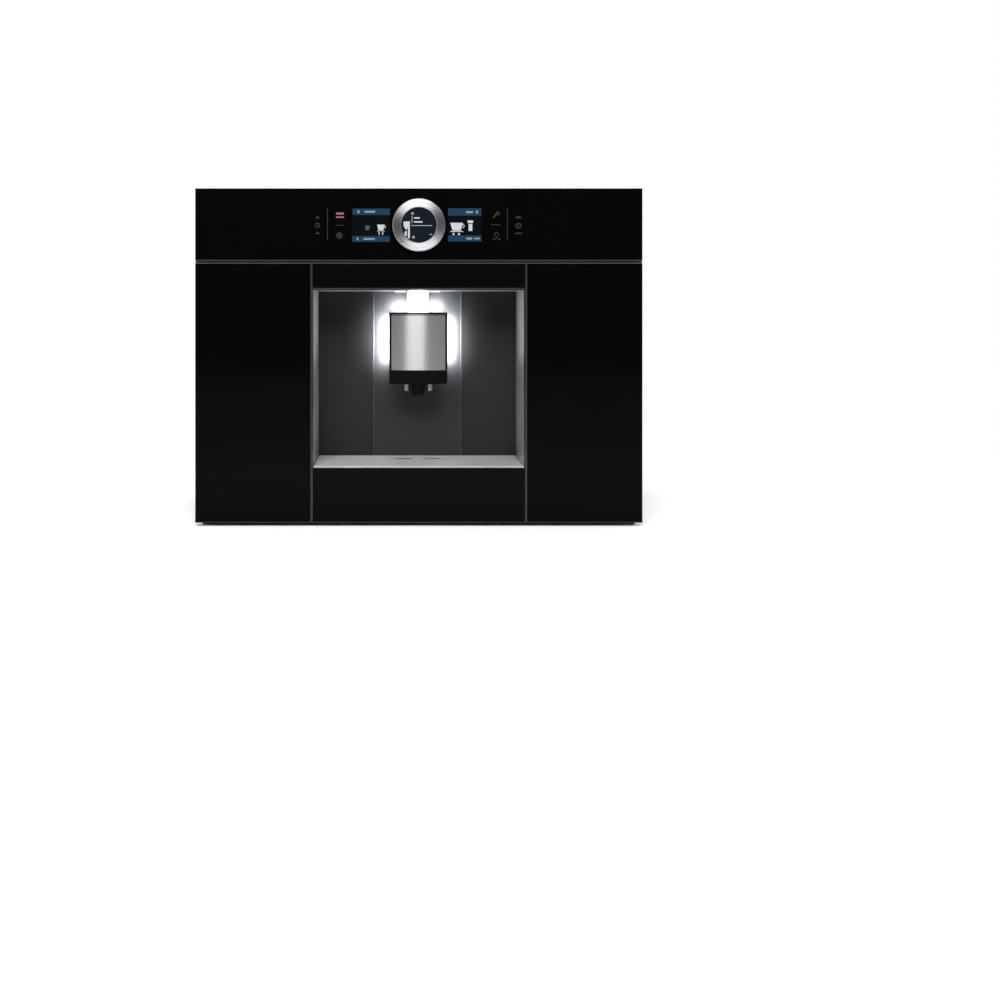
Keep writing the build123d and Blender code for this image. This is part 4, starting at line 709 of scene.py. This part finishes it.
# %% Round screen in the ring
round_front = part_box("display_centre")[0].y
lines = (bar(-9.4, -8.8, 402.7, 412) + bar(-10.5, 17.3, 399, 399.6) + hoop(-8.5, 415.2, 1.3, 0.7, steps=14)
         + bar(-6.5, 1.2, 408.4, 410.2) + bar(-6.5, 4.8, 403.2, 405) + hoop(-7.2, 383.9, 1.2, 0.8, steps=12)
         + bar(14.4, 17.2, 387.2, 388.0))
half_cup = [[(-20.5, 404.5), (-12, 404.8), (-12, 382.5), (-14.6, 382.5), (-14.6, 397.5), (-16.6, 393.0),
             (-20.2, 398.5)]]
inlay("round_lines", lines, round_front, screen_white)
inlay("round_cup", half_cup + bar(-18.8, -16.2, 385.6, 391.6), round_front, screen_white)

# %% [markdown]
# Left and right of the screens are touch symbols, printed and lit from behind. A picture of them
# would be sharp at one size only, so they are outlines too. They are plain generic signs: a clock
# face, a gear in a ring, a key, a hook, a switch sign and bars.

# %% Touch symbols
def gear(x, z, radius, teeth):
    outline = []
    gap_reach, half_tooth = 0.78 * radius, 0.28
    for i in range(2 * teeth):
        reach = radius if i % 2 == 0 else gap_reach
        for j in (-half_tooth, half_tooth):
            a = (i + j) * math.pi / teeth
            outline.append((x + reach * math.cos(a), z + reach * math.sin(a)))
    return [outline]


dividers = bar(-121.7, -121.0, 380.5, 422.3) + bar(117.2, 117.9, 380.5, 422.3)
clock = hoop(-134.6, 399.8, 3.1, 0.9) + bar(-135.4, -133.2, 399.2, 400.4)
clock_up = bar(-137, -132, 409.2, 410.4) + bar(-135.6, -133.4, 410.4, 412.0)
clock_down = bar(-137, -131.6, 388.6, 389.8) + bar(-136, -134, 389.8, 391.2)
settings = hoop(-105.5, 386.5, 3.6, 1.2) + gear(-105.5, 386.5, 2.2, teeth=6)
key = [[(98, 410.4), (99.4, 409.6), (104.6, 415.2), (103.2, 416.4)]] + hoop(105, 416, 2.0, 1.1, steps=14)
hook = (hoop(103.2, 387.6, 2.6, 1.0, -40, 260, 14) + bar(97.6, 101.4, 381.2, 382.4)
        + bar(104.8, 108.8, 381.2, 382.4) + [[(101.2, 382), (102.6, 382), (105, 385), (103.6, 385)]])
switch_up = bar(127.8, 136.6, 409.6, 410.8) + bar(130, 134.2, 410.8, 411.8)
switch = hoop(132.2, 399.4, 3.4, 1.0, steps=18) + bar(131.6, 132.8, 397.4, 401.4)
switch_down = bar(127.8, 136.6, 388.6, 390.0)
left_line, right_line = bar(-110, -99.4, 399.7, 400.4), bar(95.4, 109, 400.4, 401.1)
rose_bars = bar(-110, -99.6, 414.2, 417.0) + bar(-110, -99.6, 409.8, 411.8)
inlay("touch_dividers", dividers, glass_front, touch_grey)
inlay("touch_left", clock_up + clock + clock_down + left_line + settings, glass_front, touch_grey)
inlay("touch_right", key + right_line + hook + switch_up + switch + switch_down, glass_front, touch_grey)
inlay("touch_rose_bars", rose_bars, glass_front, touch_rose)

# %% [markdown]
# What is too fine for the frame repeats or follows a path, so Geometry Nodes make it. A maker starts
# from a seed mesh: the points where a screw sits, or nothing at all. Its named inputs hold the sizes.
# The helpers below make its nodes, join them, run it on a seed and keep the result as a plain mesh.

# %% Geometry Nodes helpers
class Maker:
    """A Geometry Nodes group with a seed geometry, named sizes and one result."""

    def __init__(self, name, **sizes):
        self.group = bpy.data.node_groups.new(name, "GeometryNodeTree")
        face = self.group.interface
        face.new_socket("Seed", in_out="INPUT", socket_type="NodeSocketGeometry")
        self.sizes = {}
        for key, value in sizes.items():
            socket = face.new_socket(key, in_out="INPUT", socket_type="NodeSocketFloat")
            self.sizes[socket.identifier] = value
        face.new_socket("Result", in_out="OUTPUT", socket_type="NodeSocketGeometry")
        self.given = self.group.nodes.new("NodeGroupInput").outputs
        self.end = self.group.nodes.new("NodeGroupOutput")

    def add(self, kind, inputs, **settings):
        """The first output of a new node."""
        return node(self.group, kind, inputs, **settings).outputs[0]

    def rod(self, sides, radius, length, foot=0.0):
        """An upright rod or prism that stands at the height foot."""
        made = self.add("MeshCylinder", {"Vertices": sides, "Radius": radius, "Depth": length})
        return self.add("Transform", {"Geometry": made, "Translation": (0, 0, foot + length / 2)})

    def join(self, *parts):
        joined = node(self.group, "JoinGeometry")
        for part in parts:
            fill(joined, {0: part})
        return joined.outputs[0]

    def finish(self, last, finish):
        real = self.add("RealizeInstances", {"Geometry": last})
        fill(self.end, {0: self.add("SetMaterial", {"Geometry": real, "Material": finish})})


def grow(name, maker, body, seed=()):
    """Runs a maker on seed points in metres, and rides the plain mesh that it makes on a body."""
    points = bpy.data.meshes.new(name + "_seed")
    points.from_pydata([tuple(p) for p in seed], [], [])
    piece = bpy.data.objects.new(name, points)
    scene.collection.objects.link(piece)
    modifier = piece.modifiers.new("maker", "NODES")
    modifier.node_group = maker.group
    for identifier, value in maker.sizes.items():
        modifier[identifier] = value
    graph = bpy.context.evaluated_depsgraph_get()
    mesh = bpy.data.meshes.new_from_object(piece.evaluated_get(graph), depsgraph=graph)
    piece.modifiers.clear()
    piece.data = mesh
    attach(piece, body)
    print(name, "has", len(mesh.polygons), "faces")
    return piece


print("geometry helpers are ready")

# %% [markdown]
# The screws of the rear cover have a low head with a six-lobed drive. The head is a short cone, and
# the drive is a star swept along a line and cut out of it. One screw is made, and every seed point
# gets a copy.

# %% Rear screws
plated = metal("plated_screw", (0.34, 0.33, 0.30), (0.48, 0.47, 0.44), rough=(0.24, 0.36), grain=600)


def screw_maker(name, turn, radius, height, shank):
    """Screws whose heads point along +Z before the turn."""
    maker = Maker(name, HeadRadius=radius, ShoulderRadius=0.8 * radius, HeadHeight=height,
                  DriveRadius=0.5 * radius, DriveInner=0.34 * radius, ShankRadius=0.5 * radius)
    given = maker.given
    head = maker.add("MeshCone", {"Vertices": 32, "Radius Bottom": given["HeadRadius"],
                                  "Radius Top": given["ShoulderRadius"], "Depth": given["HeadHeight"]})
    line = maker.add("CurvePrimitiveLine", {"Start": (0, 0, 0.35 * height), "End": (0, 0, 2 * height)})
    star = maker.add("CurveStar", {"Points": 6, "Inner Radius": given["DriveInner"],
                                   "Outer Radius": given["DriveRadius"]})
    drive = maker.add("CurveToMesh", {"Curve": line, "Profile Curve": star, "Fill Caps": True})
    cut = maker.add("MeshBoolean", {"Mesh 1": head, "Mesh 2": drive}, operation="DIFFERENCE")
    screw = maker.join(cut, maker.rod(16, given["ShankRadius"], shank, -shank))
    copies = maker.add("InstanceOnPoints", {"Points": given["Seed"], "Instance": screw, "Rotation": turn})
    maker.finish(copies, plated)
    return maker


quarter = math.pi / 2
head_height = 1.5 * MM
screws_low, screws_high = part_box("body_screws")
reach_x, reach_z = 3.5 * MM, 3.03 * MM
rear_xs = (screws_low.x + reach_x, 0, screws_high.x - reach_x)
rear_zs = (screws_low.z + reach_z, screws_high.z - reach_z)
sheet_face = screws_high.y - head_height
shank = sheet_face - screws_low.y
rear_maker = screw_maker("rear_screw_maker", (-quarter, 0, 0), 3.0 * MM, head_height, shank)
rear_screws = grow("rear_screws", rear_maker, "cabinet_body",
                   [(x, sheet_face, z) for x in rear_xs for z in rear_zs])
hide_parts("body_screws")

# %% [markdown]
# Six more hold the front frame to the cabinet, three on each side of the recess. They show when the
# door is open. The same maker gives them, smaller and flatter, so that the closed door clears them.

# %% Screws of the front frame
frame_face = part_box("front_frame")[0].y
front_maker = screw_maker("front_screw_maker", (quarter, 0, 0), 2.5 * MM, 0.8 * MM, shank=2.0 * MM)
grow("front_screws", front_maker, "cabinet_body",
     [(x * MM, frame_face, z * MM) for x in (-147.2, 146.2) for z in (110, 210, 305)])

# %% [markdown]
# The brewing spindle is a rod with a three-start thread: three ridges wind round it side by side, each
# a full turn in 12 mm and right-handed, so that three turns press the piston down. A screw modifier
# could wind them, but a spiral curve keeps their sizes as inputs. It carries a small trapezium, whose
# widths lie radially: the ridges reach half a millimetre past the radius of the plain solid. The
# hexagon near the foot is where the drive takes hold.

# %% Brewing spindle
rod_low, rod_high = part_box("brew_spindle")
rod_x, rod_y = (rod_low.x + rod_high.x) / 2, (rod_low.y + rod_high.y) / 2
rod_length = rod_high.z - rod_low.z
crest, root, lead, starts = 4.0 * MM, 3.25 * MM, 12 * MM, 3
plain_foot, plain_top, nut_foot, nut_height = 12.5 * MM, 4 * MM, 3.0 * MM, 8.0 * MM
thread_length = rod_length - plain_foot - plain_top
ridge_middle = (crest - 0.05 * MM + root) / 2
ridge_height, ridge_wide, ridge_narrow = 0.9 * (crest - root), 1.9 * MM, 1.0 * MM
maker = Maker("spindle_maker", CrestRadius=crest, RootRadius=root, Lead=lead, NutRadius=10 * MM)
core = maker.rod(32, maker.given["RootRadius"], rod_length)
foot = maker.rod(32, maker.given["CrestRadius"], plain_foot)
nut = maker.rod(6, maker.given["NutRadius"], nut_height, nut_foot)
turns = maths(maker.group, "DIVIDE", thread_length, maker.given["Lead"])
spiral = maker.add("CurveSpiral", {"Resolution": 28, "Rotations": turns, "Start Radius": ridge_middle,
                                   "End Radius": ridge_middle, "Height": thread_length, "Reverse": True})
upright = maker.add("SetCurveNormal", {"Curve": spiral}, mode="Z_UP")
ridge_sizes = {"Height": ridge_height, "Bottom Width": ridge_wide, "Top Width": ridge_narrow, "Offset": 0.0}
section = maker.add("CurvePrimitiveQuadrilateral", ridge_sizes, mode="TRAPEZOID")
ridge = maker.add("CurveToMesh", {"Curve": upright, "Profile Curve": section, "Fill Caps": True})
ridges = [maker.add("Transform", {"Geometry": ridge, "Translation": (0, 0, plain_foot),
                                  "Rotation": (0, 0, i * 2 * math.pi / starts)}) for i in range(starts)]
whole = maker.add("Transform", {"Geometry": maker.join(core, foot, nut, *ridges),
                                "Translation": (rod_x, rod_y, rod_low.z)})
maker.finish(whole, bright)
spindle = grow("threaded_spindle", maker, "brew_spindle")
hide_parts("brew_spindle")

# %% [markdown]
# Beside each groove of the recess's back panel runs a thin round bead, which catches the lamps' light.
# A painted line would stay flat. The bead is a circle swept up a line.

# %% Beads in the recess
bead_finish = moulded("bead_grey", (0.035, 0.035, 0.036), rough=(0.25, 0.35))
bead_x, bead_depth = 62.4 * MM, 0.2 * MM
panel_low, panel_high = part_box("niche_back_panel")
maker = Maker("bead_maker", BeadRadius=0.8 * MM)
line = maker.add("CurvePrimitiveLine", {"Start": (0, 0, panel_low.z), "End": (0, 0, panel_high.z)})
section = maker.add("CurvePrimitiveCircle", {"Resolution": 16, "Radius": maker.given["BeadRadius"]})
bead = maker.add("CurveToMesh", {"Curve": line, "Profile Curve": section, "Fill Caps": True})
maker.finish(maker.add("InstanceOnPoints", {"Points": maker.given["Seed"], "Instance": bead}), bead_finish)
grow("recess_beads", maker, "cabinet_body",
     [(side * bead_x, panel_low.y + bead_depth, 0) for side in (-1, 1)])

# %% [markdown]
# The water tank carries a scale of level marks, and the grind selector sits in an arc of dots that
# grow from fine to coarse. Both are printed on the real machine, and here they are plates a twentieth
# of a millimetre thick, like the symbols of the control panel.

# %% Printed marks
pale_ink = moulded("pale_ink", (0.55, 0.56, 0.57), rough=(0.4, 0.5), depth=0.00001)
tank_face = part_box("water_tank")[0].y
mark_left, short_mark, long_mark, half_height = -256, 6, 10, 0.4
levels = []
for z in range(120, 301, 20):
    mark_length = long_mark if z % 60 == 0 else short_mark
    levels += bar(mark_left, mark_left + mark_length, z - half_height, z + half_height)
inlay("tank_level_marks", levels, tank_face, pale_ink)
selector_x, selector_z, dot_circle, dot_step = 190.0, 268.0, 15.5, 20
finest_dot, dot_growth, dot_count = 0.6, 0.15, 7
dots = []
for i in range(dot_count):
    swing = math.radians(90 + dot_step * (dot_count // 2 - i))
    dot_x, dot_z = selector_x + dot_circle * math.cos(swing), selector_z + dot_circle * math.sin(swing)
    dots += disc(dot_x, dot_z, finest_dot + dot_growth * i)
inlay("grind_marks", dots, frame_face, pale_ink)
